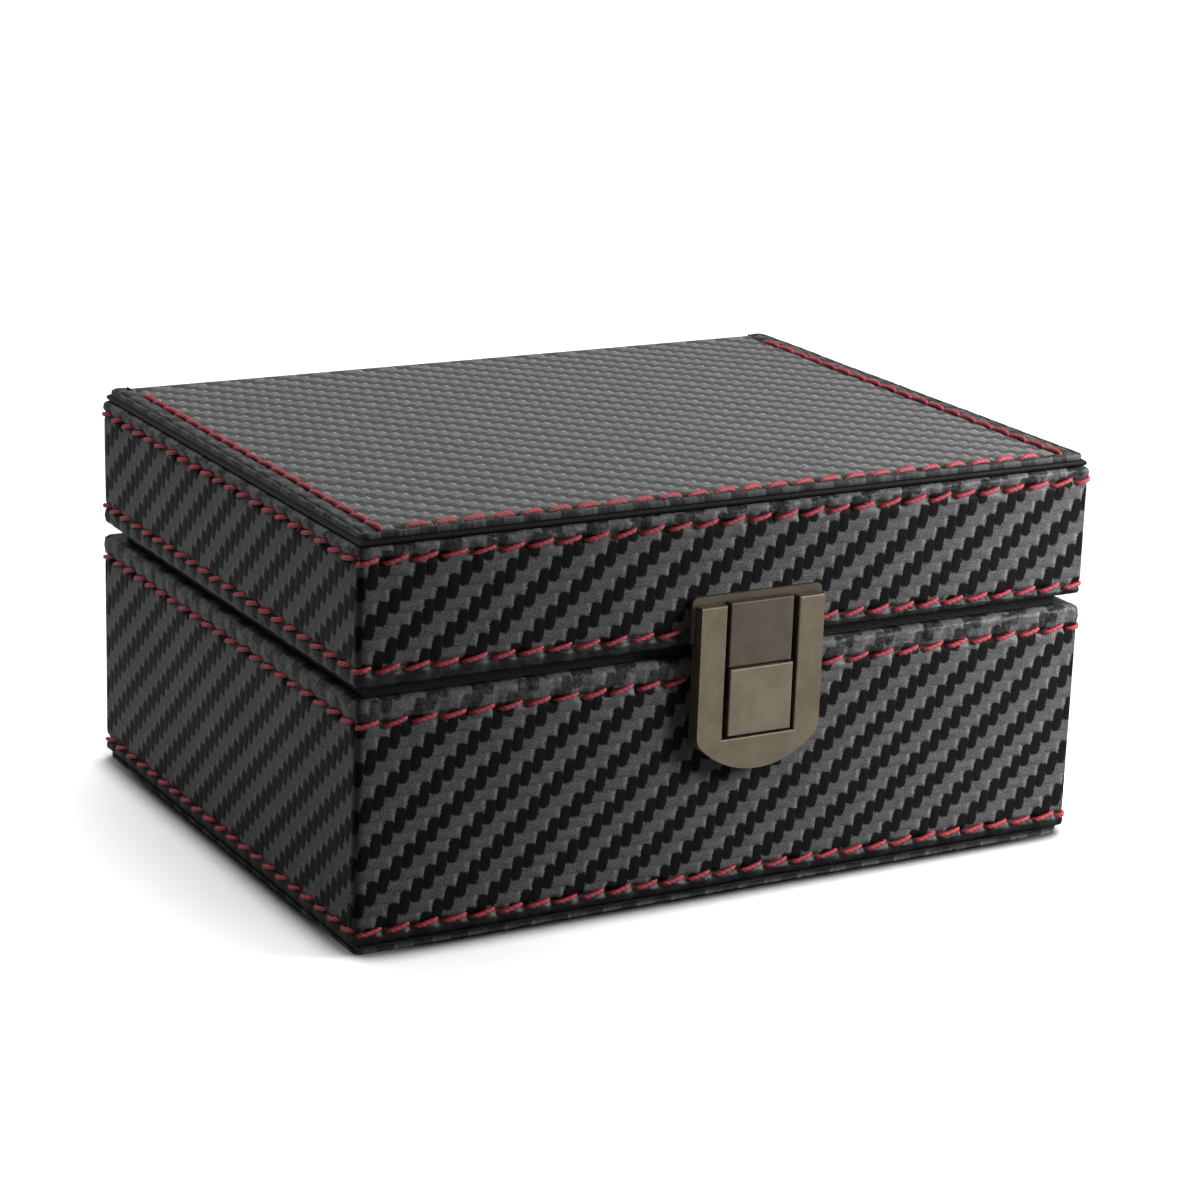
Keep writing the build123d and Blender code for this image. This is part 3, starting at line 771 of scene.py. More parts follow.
# ---------------------------------------------------------------- the box's outer skin
@dataclass(frozen=True)
class WallPath:
    """The line round the left side, the front and the right side, from rear seam to rear seam.

    Distances along it grow to the right, seen from outside.
    """

    half_width: float
    front: float
    rear: float
    radius: float  # of the upright corners, on the outer face
    rear_end: float  # half the distance between the two ends at the rear
    zone: float = 3.6  # how far each way from a corner the path bends with the inset
    inner_radius: float = 0.2

    def place(self, along: np.ndarray, inset: np.ndarray, height: np.ndarray) -> np.ndarray:
        """Points on the walls.

        Args:
            along: Distances along the path.
            inset: Distances inwards from the outer face.
            height: Heights.

        Returns:
            The points, in the last axis.
        """
        along, inset, height = np.broadcast_arrays(along, inset, height)
        out = np.zeros((*along.shape, 3))
        start, turn = np.array([-self.rear_end, self.rear]), math.pi
        left, here = along, np.full(along.shape, True)
        for length, is_corner in self.pieces():
            ahead = np.array([math.cos(turn), math.sin(turn)])
            inwards = np.array([-math.sin(turn), math.cos(turn)])
            p, q = self.round_corner(left, inset) if is_corner else (left, inset)
            found = start + p[..., None] * ahead + q[..., None] * inwards
            out[here] = np.concatenate([found, height[..., None]], -1)[here]
            if is_corner:
                start = start + self.zone * (ahead + inwards)
                turn += math.pi / 2
            else:
                start = start + length * ahead
            left = left - length
            here = left >= 0
        return out

    def round_corner(self, left: np.ndarray, inset: np.ndarray) -> tuple[np.ndarray, np.ndarray]:
        """Distances ahead and inwards from where a corner's zone starts."""
        radius = np.maximum(self.radius - inset, self.inner_radius)
        straight = self.zone - inset - radius
        total = 2 * straight + radius * math.pi / 2
        s = np.clip(left / self.corner_length(), 0, 1) * total
        angle = np.clip((s - straight) / radius, 0, math.pi / 2)
        p = np.minimum(s, straight) + radius * np.sin(angle)
        q = inset + radius * (1 - np.cos(angle)) + np.maximum(s - straight - radius * math.pi / 2, 0)
        return p, q

    def corner_length(self) -> float:
        """The length of the outer face through one corner's zone."""
        return 2 * (self.zone - self.radius) + self.radius * math.pi / 2

    def pieces(self) -> list[tuple[float, bool]]:
        """Lengths of the straight runs and corner zones, and whether each is a corner."""
        corner = (self.corner_length(), True)
        behind = (self.half_width - self.zone - self.rear_end, False)
        side = (self.rear - self.front - 2 * self.zone, False)
        ahead = (2 * (self.half_width - self.zone), False)
        return [behind, corner, side, corner, ahead, corner, side, corner, behind]

    def length(self) -> float:
        """The whole length of the outer face."""
        return sum(length for length, _ in self.pieces())

    def front_middle(self) -> float:
        """The distance along at which the front's middle lies."""
        lengths = [length for length, _ in self.pieces()]
        return sum(lengths[:4]) + lengths[4] / 2

    def shading(self, along: np.ndarray) -> np.ndarray:
        """How much painted shade darkens the leather round the upright corners."""
        middle, half = self.front_middle(), self.half_width
        side = self.rear - self.front
        total = np.zeros_like(along, float)
        for corner in (middle - half - side, middle - half, middle + half, middle + half + side):
            off = along - corner
            total = np.maximum(total, 0.75 * np.exp(-((off / np.where(off > 0, 1.5, 0.8)) ** 2)))
        return total


@dataclass(frozen=True)
class FlatStrip:
    """A straight strip on a plane, with distances along, outwards and across."""

    origin: tuple[float, float, float]
    along: tuple[float, float, float]
    across: tuple[float, float, float]
    strip_painted_shade: float = 0.0  # how much painted shade darkens the leather on it

    def place(self, along: np.ndarray, inset: np.ndarray, across: np.ndarray) -> np.ndarray:
        """Points at distances along, below the face and across."""
        along, inset, across = np.broadcast_arrays(along, inset, across)
        a, c = np.array(self.along, float), np.array(self.across, float)
        out = np.cross(a, c)
        point = np.array(self.origin, float)
        return point + along[..., None] * a + across[..., None] * c - inset[..., None] * out

    def shading(self, along: np.ndarray) -> np.ndarray:
        """How much painted shade darkens the leather, the same all along."""
        return np.full(np.shape(along), self.strip_painted_shade)


@dataclass(frozen=True)
class StripSection:
    """The section of a leather strip: a free end, an outer face and a hem folded over a board."""

    free_end: float
    edge: float
    rows: tuple[Row, ...]
    board: float
    leather: float = 1.1
    hem_radius: float = 1.2
    free_radius: float = 0.9
    fold: float = 0.8
    bend: float = 0.0  # outer radius where the strip comes round from a panel; 0 for a free end

    @property
    def up(self) -> float:
        """1 where the strip runs up from its free end and -1 where it runs down."""
        return math.copysign(1, self.edge - self.free_end)

    def outline(self) -> tuple[np.ndarray, np.ndarray, np.ndarray, np.ndarray]:
        """The closed outline.

        Returns:
            Insets and heights, heights as if the face were flat, and 1 where relief applies.
        """
        total = abs(self.edge - self.free_end)
        start, hem = self.bend or self.free_radius, self.hem_radius
        quarter = np.linspace(0, np.pi / 2, 9)
        reach, fold = self.leather + self.board, total - self.fold
        face = self.face_heights(start, total - hem)
        bend = np.stack([start * (1 - np.sin(quarter[:-1])), start * (1 - np.cos(quarter[:-1]))])
        over = np.stack([hem * (1 - np.cos(quarter[1:])), total - hem * (1 - np.sin(quarter[1:]))])
        behind = [[(hem + reach) / 2, total], [reach, total - 0.1], [reach, fold]]
        behind += [[self.leather, fold], [self.leather, start]]
        if self.bend:
            inner = self.bend - self.leather
            behind += [[start - inner * math.cos(q), start - inner * math.sin(q)] for q in quarter[1:]]
        else:
            behind += [[self.leather, 0.0]]
        hidden = np.array(behind).T
        inset = np.concatenate([bend[0], np.zeros_like(face), over[0], hidden[0]])
        rise = np.concatenate([bend[1], face, over[1], hidden[1]])
        on_bend = start * (1 + quarter[:-1] - np.pi / 2)
        on_hem = total + hem * (quarter[1:] - 1)
        flat = np.concatenate([on_bend, face, on_hem, np.full(hidden.shape[1], on_hem[-1])])
        ease = np.clip(quarter[:-1] / quarter[-1] * 1.5, 0, 1)
        fade = np.concatenate(
            [ease, np.ones(len(face)), 0.2 + 0.8 * np.cos(quarter[1:]), np.zeros(hidden.shape[1])]
        )
        return inset, self.free_end + self.up * rise, self.free_end + self.up * flat, fade

    def face_heights(self, low: float, high: float) -> np.ndarray:
        """Distances from the free end down the outer face, close together round the rows."""
        marks = sorted((row.at - self.free_end) * self.up for row in self.rows)
        stretches, at = [], low
        for mark in marks:
            near, far = max(low, mark - 2.0), min(high, mark + 2.0)
            if near > at:
                stretches.append((at, near, 1.6))
            stretches.append((max(at, near), far, 0.22))
            at = far
        if high > at:
            stretches.append((at, high, 0.3 if high - at < 3 else 1.6))
        return lines(*stretches)


@dataclass(frozen=True)
class SewnStrip:
    """A strip of leather swept along a path, drawn in along its stitch rows."""

    name: str
    path: WallPath | FlatStrip
    section: StripSection
    start: float
    end: float
    spacing: float = 0.46
    seed: int = 1
    cloth_turn: float = 1.0  # -1 where the cut leather's own direction runs against the strip
    cloth_start: float | None = None  # of the cut leather's other coordinate, where it comes from a panel

    def piece(self) -> Piece:
        """The strip as a closed mesh."""
        inset, height, flat, fade = self.section.outline()
        along = lines((self.start, self.end, self.spacing))
        sewing = Sewing(self.section.rows, self.seed)
        grid = (along[:, None], flat[None, :])
        relief = sewing.relief(*grid) * fade
        normal_in, normal_up = self.normals(inset, height)
        points = self.path.place(along[:, None], inset + relief * normal_in, height + relief * normal_up)
        across = flat
        if self.cloth_start is not None:
            across = self.cloth_start + (flat - self.section.free_end) * self.section.up
        cloth = np.zeros_like(points)
        cloth[..., 0] = along[:, None] * self.cloth_turn
        cloth[..., 1] = across[None, :]
        cloth[..., 2] = np.maximum(sewing.hem(*grid), fade == 0)
        # painted shade by the rows and at the upright corners, and on the turned-in hidden side below
        shading = np.maximum(sewing.shading(*grid), self.path.shading(along)[:, None])
        shading = np.where(fade == 0, 0.85, shading)
        faces = tube_faces(len(along), len(inset))
        return Piece(self.name, points.reshape(-1, 3), faces, cloth.reshape(-1, 3), shading)

    def normals(self, inset: np.ndarray, height: np.ndarray) -> tuple[np.ndarray, np.ndarray]:
        """The way out of the section at each point, as an inset and a height."""
        run_in = np.roll(inset, -1) - np.roll(inset, 1)
        run_up = np.roll(height, -1) - np.roll(height, 1)
        size = np.hypot(run_in, run_up) + 1e-9
        return -run_up / size * self.section.up, run_in / size * self.section.up


@dataclass(frozen=True)
class RoundedSlab:
    """A flat slab about the middle, with rounded upright corners, made of a grid and a plain back."""

    half_width: float
    half_depth: float
    corner: float

    def rounded(self, x: np.ndarray, y: np.ndarray) -> tuple[np.ndarray, np.ndarray]:
        """Grid points with the four corners drawn in to arcs."""
        flat_x, flat_y = self.half_width - self.corner, self.half_depth - self.corner
        p = np.clip((np.abs(x) - flat_x) / self.corner, 0, 1)
        q = np.clip((np.abs(y) - flat_y) / self.corner, 0, 1)
        new_x = np.where(p > 0, np.sign(x) * (flat_x + self.corner * p * np.sqrt(1 - q**2 / 2)), x)
        new_y = np.where(q > 0, np.sign(y) * (flat_y + self.corner * q * np.sqrt(1 - p**2 / 2)), y)
        return new_x, new_y

    def from_edge(self, x: np.ndarray, y: np.ndarray) -> np.ndarray:
        """Distances in from the edge."""
        qx = np.abs(x) - (self.half_width - self.corner)
        qy = np.abs(y) - (self.half_depth - self.corner)
        outside = np.hypot(np.clip(qx, 0, None), np.clip(qy, 0, None))
        return self.corner - outside - np.minimum(np.maximum(qx, qy), 0)

    def closed(
        self, top: np.ndarray, keep: np.ndarray, back: float
    ) -> tuple[np.ndarray, list[Sequence[int]]]:
        """Closes a grid with an upright rim and a flat back.

        Args:
            top: The grid's points.
            keep: Which of its cells are there.
            back: The height of the back.

        Returns:
            Points and faces.
        """
        index = np.arange(top.shape[0] * top.shape[1]).reshape(top.shape[:2])
        quads = np.stack([index[:-1, :-1], index[1:, :-1], index[1:, 1:], index[:-1, 1:]], -1)[keep]
        rim = self.rim(index, keep)
        low = top.reshape(-1, 3)[rim].copy()
        low[:, 2] = back
        ring = index.size + np.arange(len(rim))
        skirt = np.stack([rim, np.roll(rim, -1), np.roll(ring, -1), ring], -1)
        points = np.concatenate([top.reshape(-1, 3), low])
        used = np.unique(np.concatenate([quads.ravel(), ring]))
        renumber = np.zeros(len(points), int)
        renumber[used] = np.arange(len(used))
        faces = [*renumber[quads], *renumber[skirt], renumber[ring]]
        return points[used], faces

    def rim(self, index: np.ndarray, keep: np.ndarray) -> np.ndarray:
        """The points round the kept cells, in order."""
        wide = np.pad(keep, 1)
        beside = (wide[1:-1, :-2], wide[2:, 1:-1], wide[1:-1, 2:], wide[:-2, 1:-1])
        corner = (index[:-1, :-1], index[1:, :-1], index[1:, 1:], index[:-1, 1:])
        following: dict[int, int] = {}
        for side in range(4):
            open_side = keep & ~beside[side]
            following.update(zip(corner[side][open_side].tolist(), corner[(side + 1) % 4][open_side].tolist()))
        at = first = next(iter(following))
        found = []
        while not found or at != first:
            found.append(at)
            at = following[at]
        return np.array(found)


@dataclass(frozen=True)
class SewnPanel:
    """A flat cover with a gap for its rear flap, and stitch rows near its front and side edges."""

    name: str
    slab: RoundedSlab
    face: float  # height of the outer face
    inside: float  # height of the hidden face
    flap_half: float
    flap_from: float
    front_row: Row | None = None
    side_row: Row | None = None
    edge_radius: float = 0.5
    bead: float = 0.5  # width of the smooth rim
    crease_inset: float = 0.95
    step: float = 0.6
    seed: int = 3

    @property
    def out(self) -> float:
        """1 where the outer face looks up and -1 where it looks down."""
        return math.copysign(1, self.face - self.inside)

    def piece(self) -> Piece:
        """The panel as a closed mesh."""
        xs, ys = self.grid_lines()
        x, y = self.slab.rounded(*np.meshgrid(xs, ys, indexing="ij"))
        off = self.slab.from_edge(x, y)
        by_flap = (np.abs(x) <= self.flap_half + 1e-6) & (y > 0)
        off = np.where(by_flap, np.maximum(off, self.edge_radius), off)
        short = np.clip(self.edge_radius - off, 0, None)
        curve = self.edge_radius - np.sqrt(np.clip(self.edge_radius**2 - short**2, 0, None))
        to_flap = np.where(np.abs(x) <= self.flap_half + 1e-6, self.flap_from - y, 9.0)
        ease = np.clip(off / self.bead, 0, 1) * np.clip(to_flap / 1.5, 0, 1)
        top = np.stack([x, y, self.face + self.out * (self.relief(x, y) * ease - curve)], -1)
        middle_x, middle_y = (xs[:-1] + xs[1:]) / 2, (ys[:-1] + ys[1:]) / 2
        keep = ~((np.abs(middle_x)[:, None] < self.flap_half) & (middle_y[None, :] > self.flap_from))
        points, faces = self.slab.closed(top, keep, self.inside)
        cloth = points.copy()
        cloth[:, 0] *= self.out
        x, y = points[:, 0], points[:, 1]
        cloth[:, 2] = np.maximum(self.hem(x, y), points[:, 2] == self.inside)
        # painted shade on the hidden back
        shading = np.where(points[:, 2] == self.inside, 0.5, self.shading(x, y))
        return Piece(self.name, points, faces, cloth, shading)

    def grid_lines(self) -> tuple[np.ndarray, np.ndarray]:
        """Grid lines across and along, close together at the edges and the rows."""
        fine, edge = 0.12, self.edge_radius
        half, deep, flap = self.slab.half_width, self.slab.half_depth, self.flap_half
        right = lines(
            (0, flap - 2.2, self.step), (flap - 2.2, flap, 0.24), (flap, half - edge, 0.3), (half - edge, half, fine)
        )
        ys = lines(
            (-deep, edge - deep, fine),
            (edge - deep, 4.5 - deep, 0.24),
            (4.5 - deep, self.flap_from, self.step),
            (self.flap_from, deep - edge, 0.3),
            (deep - edge, deep, fine),
        )
        return np.concatenate([-right[:0:-1], right]), ys

    def relief(self, x: np.ndarray, y: np.ndarray) -> np.ndarray:
        """How far the leather stands out of the panel's plane."""
        total = np.minimum(waves(x, y, 30.0, self.seed) * 0.04 - 0.1, -0.01)
        if self.front_row and self.side_row:
            ahead, side = self.front_row, self.side_row
            rows = np.where(self.in_front(x, y), ahead.relief(x, y), side.relief(y, np.abs(x)))
            crinkle = waves(x, y * 1.4, 2.4, self.seed + 5, 12) * 0.03
            total = total + rows + crinkle * self.hem(x, y) - 0.34 * self.crease(x, y)
        return total

    def in_front(self, x: np.ndarray, y: np.ndarray) -> np.ndarray:
        """Where the front row is nearer than the side rows."""
        return self.front_row.at - y > np.abs(x) - self.side_row.at

    def crease(self, x: np.ndarray, y: np.ndarray) -> np.ndarray:
        """1 along the crease that sets the rim's bead off from the hem."""
        return np.exp(-(((self.slab.from_edge(x, y) - self.crease_inset) / 0.26) ** 2))

    def shading(self, x: np.ndarray, y: np.ndarray) -> np.ndarray:
        """How much painted shade darkens the leather: in the crease and by the rows; towards the edge where a panel
        has no rows.
        """
        if not (self.front_row and self.side_row):
            return 0.2 * np.clip(2 - self.slab.from_edge(x, y), 0, 1)
        ahead, side = self.front_row, self.side_row
        rows = np.where(self.in_front(x, y), ahead.shading(x, y), side.shading(y, np.abs(x)))
        return np.maximum(rows, 0.95 * self.crease(x, y))

    def hem(self, x: np.ndarray, y: np.ndarray) -> np.ndarray:
        """1 on the hems outside the stitch rows."""
        if not (self.front_row and self.side_row):
            return np.zeros_like(x)
        return np.maximum(self.front_row.hem(x, y), self.side_row.hem(y, np.abs(x)))


@dataclass(frozen=True)
class Pad:
    """A stuffed pad that is crowned towards its middle and drawn down at its edge."""

    node: str
    body: Body
    out: float  # 1 where it swells upwards and -1 where it swells downwards
    corner: float = 2.4
    edge_share: float = 0.6
    edge_round: float = 2.2
    swell: float = 22.0  # how far in from the edge the crown reaches its height
    step: float = 1.1
    seed: int = 21

    def build(self, wardrobe: Wardrobe) -> None:
        """Makes the pad in the place of its CAD node."""
        low, high = corners_of(self.node)
        half = (high - low) / 2
        slab = RoundedSlab(half[0], half[1], self.corner)
        right = lines((0, half[0] - 3, self.step), (half[0] - 3, half[0], 0.25))
        ahead = lines((0, half[1] - 3, self.step), (half[1] - 3, half[1], 0.25))
        xs, ys = np.concatenate([-right[:0:-1], right]), np.concatenate([-ahead[:0:-1], ahead])
        x, y = slab.rounded(*np.meshgrid(xs, ys, indexing="ij"))
        off = slab.from_edge(x, y)
        thick = high[2] - low[2]
        edge = thick * self.edge_share
        lip = np.sqrt(np.clip(1 - np.clip(1 - off / self.edge_round, 0, 1) ** 2, 0, 1))
        crown = np.sin(np.clip(off / self.swell, 0, 1) * np.pi / 2)
        soft = waves(x, y, 19.0, self.seed) * 0.05 - 0.1
        creases = waves(x * 0.6, y * 0.6, 5.0, self.seed + 1) * 0.05 * np.exp(-off / 4)
        rise = edge * lip + (thick - edge) * crown + (soft + creases) * crown
        back, face = (low[2], low[2]) if self.out > 0 else (high[2], high[2])
        top = np.stack([x, y, face + self.out * np.clip(rise, 0.02, thick)], -1)
        keep = np.full((len(xs) - 1, len(ys) - 1), True)
        points, faces = slab.closed(top, keep, back)
        points[:, :2] += (high[:2] + low[:2]) / 2
        piece = Piece(f"{self.node}_cushion", points, faces)
        made = piece.build(wardrobe.pad, self.body, Slot.LINING, (self.node,))


@dataclass(frozen=True)
class StitchRow:
    """A row of twisted stitches, each rising a little and diving in at both ends."""

    name: str
    path: WallPath | FlatStrip
    row: Row
    start: float
    end: float
    gaps: tuple[tuple[float, float], ...] = ()
    turned: float = 1.0  # -1 where the stitches fall to the right
    rings: int = 19
    sides: int = 10
    seed: int = 11

    def piece(self) -> Piece:
        """All stitches of the row in one mesh."""
        first = math.ceil((self.start - self.row.start) / SEWN.pitch)
        last = math.floor((self.end - self.row.start) / SEWN.pitch)
        middles = self.row.start + (np.arange(first, last) + 0.5) * SEWN.pitch
        for low, high in self.gaps:
            middles = middles[(middles < low) | (middles > high)]
        draw = np.random.default_rng(self.seed)
        count = len(middles)
        t = np.linspace(-1, 1, self.rings)
        turn = np.linspace(0, 2 * np.pi, self.sides, endpoint=False)
        slope = np.tan(np.radians(SEWN.slope * self.turned + draw.normal(0, 1.6, count)))
        reach = SEWN.length / 2 * (1 + draw.normal(0, 0.02, count))
        shift = draw.normal(0, 0.06, count)
        along = middles[:, None] + reach[:, None] * t
        across = self.row.line(middles)[:, None] + shift[:, None] + slope[:, None] * reach[:, None] * np.sin(t * 1.35)
        thick = SEWN.thickness / 2 * (1 + draw.normal(0, 0.04, count))[:, None]
        taper = np.sqrt(np.clip(1 - np.abs(t) ** 5, 0.04, 1))
        lift = 0.04 - 0.72 * np.abs(t) ** 3.5
        angle = turn[None, None, :] + 0 * along[..., None]
        twist = np.pi * SEWN.plies * t[None, :, None] + draw.uniform(0, np.pi, count)[:, None, None]
        crown = np.abs(np.cos(angle - twist)) ** 0.8
        radius = (thick * taper)[..., None] * (0.8 + 0.24 * crown)
        ring_across = across[..., None] + radius * np.cos(angle) * 0.95
        ring_out = lift[None, :, None] + radius * np.sin(angle)
        points = self.path.place(along[..., None] + 0 * ring_out, -ring_out, ring_across)
        cloth = np.stack(
            [along[..., None] + 0 * crown, (angle - twist) / (2 * np.pi), crown], -1
        )
        faces: list[Sequence[int]] = []
        ring = self.rings * self.sides
        single = tube_faces(self.rings, self.sides)
        for k in range(count):
            faces.extend([np.asarray(face) + k * ring for face in single])
        return Piece(self.name, points.reshape(-1, 3), faces, cloth.reshape(-1, 3), sharp=80.0)


@dataclass(frozen=True)
class LeafSpring:
    """The bowed leaf behind the button; this script builds it bowed and does not flatten it."""

    node: str = "latch_spring"
    joint: str = "button_press"
    gauge: float = 0.22
    pressed: float = 0.18  # of its bow that is left when the button is fully in
    stations: int = 33

    def build(self, wardrobe: Wardrobe) -> None:
        """Makes the leaf in the place of its CAD node."""
        low, high = corners_of(self.node)
        t = np.linspace(-1, 1, self.stations)
        x = (low[0] + high[0]) / 2 + t * (high[0] - low[0]) / 2
        bow = low[1] + (high[1] - low[1] - self.gauge) * t**2
        narrow = (high[2] - low[2]) * 0.5 * np.sqrt(np.clip(1 - np.abs(t) ** 14, 0.25, 1))
        middle = np.full_like(x, (low[2] + high[2]) / 2)
        ring = [
            (x, bow, middle - narrow),
            (x, bow, middle + narrow),
            (x, bow + self.gauge, middle + narrow),
            (x, bow + self.gauge, middle - narrow),
        ]
        points = np.stack([np.stack(corner, -1) for corner in ring], 1)
        made = Piece("latch_leaf", points, tube_faces(self.stations, 4)).build(
            wardrobe.steel, Body.BASE, Slot.STEEL, (self.node,)
        )
        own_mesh(made)


# ---------------------------------------------------------------- sub-assemblies
@dataclass(frozen=True)
class Half:
    """The sewn leather of the base or the lid: a side strip, a panel and the panel's flap down the rear."""

    body: Body
    free_end: float
    free_row: float
    edge_row: float
    board: float
    phases: tuple[float, ...]
    # painted shade of the hem by the free end and of the hem by the parting edge
    painted_hem_shade: tuple[float, float]
    panel_rows: tuple[float, float] | None = None
    leather: float = 1.1
    corner: float = 1.1
    panel_corner: float = 1.6
    flap_half: float = 70.0
    seam: float = 0.3
    rear_bend: float = 3.0
    lock_gap: tuple[float, float] = (0.0, 0.0)
    drift: tuple[tuple[float, float], ...] = ((0.0, 0.0),)
    seed: int = 1

    @property
    def side_node(self) -> str:
        """The CAD node of the side strip."""
        return f"{self.body.value}_side_cover"

    @property
    def panel_node(self) -> str:
        """The CAD node of the panel and its flap."""
        return {Body.BASE: "base_bottom_cover", Body.LID: "lid_top_cover"}[self.body]

    def measured(self) -> tuple[np.ndarray, np.ndarray, float, float]:
        """The side strip's corners, the panel's outer face and the parting edge."""
        low, high = corners_of(self.side_node)
        panel_low, panel_high = corners_of(self.panel_node)
        if self.body is Body.BASE:
            return low, high, panel_low[2], high[2]
        return low, high, panel_high[2], low[2]

    def walls(self) -> WallPath:
        """The path of the side strip."""
        low, high, _, _ = self.measured()
        return WallPath(high[0], low[1], high[1], self.corner, self.flap_half + self.seam)

    def rear_wall(self) -> FlatStrip:
        """The plane of the rear flap."""
        _, high, _, _ = self.measured()
        # painted shade darkens the rear flap, which wears the top panel's lighter twill
        return FlatStrip((0, high[1], 0), (-1, 0, 0), (0, 0, 1), strip_painted_shade=0.3)

    def rows(self) -> tuple[Row, Row, Row]:
        """The side strip's row by its free end, its row by the parting edge and the flap's row."""
        _, _, _, edge = self.measured()
        first, second, third = self.phases[:3]
        free_hem_shade, edge_hem_shade = self.painted_hem_shade
        free = Row(self.free_row, self.free_end, first, free_hem_shade)
        hem = Row(self.edge_row, edge, second, edge_hem_shade, self.drift)
        return free, hem, Row(self.edge_row, edge, third, edge_hem_shade)

    def build(self, wardrobe: Wardrobe) -> None:
        """Makes the leather and its stitches."""
        low, high, outside, edge = self.measured()
        name, walls, rear_wall = self.body.value, self.walls(), self.rear_wall()
        free, hem, rear = self.rows()
        section = StripSection(self.free_end, edge, (free, hem), self.board, self.leather)
        side = SewnStrip(f"{name}_side_leather", walls, section, 0, walls.length(), seed=self.seed)
        made = side.piece().build(wardrobe.side, self.body, Slot.LEATHER, (self.side_node,))
        if self.body is Body.BASE:
            carve(made, (-5.8, 11.4), (low[1] - 1, low[1] + 2.1), (30.5, 43.1))
        flap = SewnStrip(
            f"{name}_rear_flap",
            rear_wall,
            StripSection(outside, edge, (rear,), self.board, self.leather, bend=self.rear_bend),
            -self.flap_half,
            self.flap_half,
            seed=self.seed + 40,
            cloth_turn=1.0 if self.body is Body.BASE else -1.0,
            cloth_start=high[1] - self.rear_bend * (2 - math.pi / 2),
        )
        flap.piece().build(wardrobe.panel, self.body, Slot.LEATHER)
        panel = self.panel(outside, high[1])
        panel.piece().build(wardrobe.panel, self.body, Slot.LEATHER, (self.panel_node,))
        self.sew(wardrobe, walls, rear_wall, outside)

    def panel(self, outside: float, rear: float) -> SewnPanel:
        """The flat panel."""
        low, high = corners_of(self.panel_node)
        inset = self.measured()[1][0] - high[0]
        out = 1 if self.body is Body.LID else -1
        slab = RoundedSlab(high[0], -low[1], self.panel_corner)
        rows: dict[str, Row] = {}
        if self.panel_rows:
            ahead, side = self.panel_rows
            rows = {
                "front_row": Row(low[1] - inset + ahead, low[1], self.phases[3]),
                "side_row": Row(high[0] + inset - side, high[0], self.phases[4]),
            }
        return SewnPanel(
            f"{self.body.value}_panel_leather",
            slab,
            outside,
            outside - out * self.leather,
            self.flap_half + self.seam,
            rear - self.rear_bend,
            seed=self.seed + 60,
            **rows,
        )

    def sew(self, wardrobe: Wardrobe, walls: WallPath, rear_wall: FlatStrip, outside: float) -> None:
        """Makes the stitches of every row."""
        name = self.body.value
        free, hem, rear = self.rows()
        middle = walls.front_middle()
        gap = (middle + self.lock_gap[0], middle + self.lock_gap[1])
        rows = [
            StitchRow(f"{name}_outer_stitches", walls, free, 1, walls.length() - 1),
            StitchRow(f"{name}_parting_stitches", walls, hem, 1, walls.length() - 1, (gap,)),
            StitchRow(f"{name}_rear_stitches", rear_wall, rear, 1 - self.flap_half, self.flap_half - 1),
        ]
        if self.panel_rows:
            panel = self.panel(outside, self.measured()[1][1])
            ahead, side = panel.front_row, panel.side_row
            top = FlatStrip((0, 0, outside), (1, 0, 0), (0, 1, 0))
            rows.append(StitchRow(f"{name}_front_stitches", top, ahead, -side.at - 0.4, side.at + 0.4))
            for label, way in (("left", -1), ("right", 1)):
                along = FlatStrip((0, 0, outside), (0, 1, 0), (-1, 0, 0))
                placed = Row(-way * side.at, -way * side.edge, side.start)
                rows.append(
                    StitchRow(f"{name}_{label}_stitches", along, placed, ahead.at - 0.4, panel.flap_from)
                )
        for row in rows:
            row.piece().build(wardrobe.thread, self.body)


def carve(made: bpy.types.Object, *spans: tuple[float, float]) -> None:
    """Cuts a block out of a piece.

    Args:
        made: The piece.
        spans: The block's lowest and highest x, y and z.
    """
    cutter = bpy.data.meshes.new("cutter")
    shape = bmesh.new()
    bmesh.ops.create_cube(shape, size=1)
    size = Matrix.Diagonal([(high - low) * METRES for low, high in spans] + [1])
    place = Matrix.Translation([(high + low) / 2 * METRES for low, high in spans])
    shape.transform(place @ size)
    shape.to_mesh(cutter)
    shape.free()
    block = bpy.data.objects.new("cutter", cutter)
    bpy.context.scene.collection.objects.link(block)
    cut = made.modifiers.new("cut", "BOOLEAN")
    cut.object = block
    cut.solver = "EXACT"
    graph = bpy.context.evaluated_depsgraph_get()
    result = bpy.data.meshes.new_from_object(made.evaluated_get(graph))
    made.modifiers.clear()
    made.data = result
    bpy.data.objects.remove(block)


def corners_of(node: str) -> tuple[np.ndarray, np.ndarray]:
    """The lowest and highest corner of a CAD node, in millimetres."""
    low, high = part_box(node)
    return np.array(low) / METRES, np.array(high) / METRES


@dataclass(frozen=True)
class Fitting:
    """CAD nodes that are shown as they are, in one finish, with softened edges."""

    nodes: tuple[str, ...]
    material: str
    round_edge: float = 0.0
    sharp: float = 35.0

    def dress(self, wardrobe: Wardrobe) -> None:
        """Gives the nodes their finish and rounds their edges."""
        for name in self.nodes:
            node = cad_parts[name]
            node.data.materials.clear()
            node.data.materials.append(getattr(wardrobe, self.material))
            if self.round_edge:
                edge = node.modifiers.new("soft edges", "BEVEL")
                edge.width = self.round_edge * METRES
                edge.segments = 2
                edge.limit_method = "ANGLE"
                edge.angle_limit = math.radians(self.sharp)
                edge.harden_normals = True


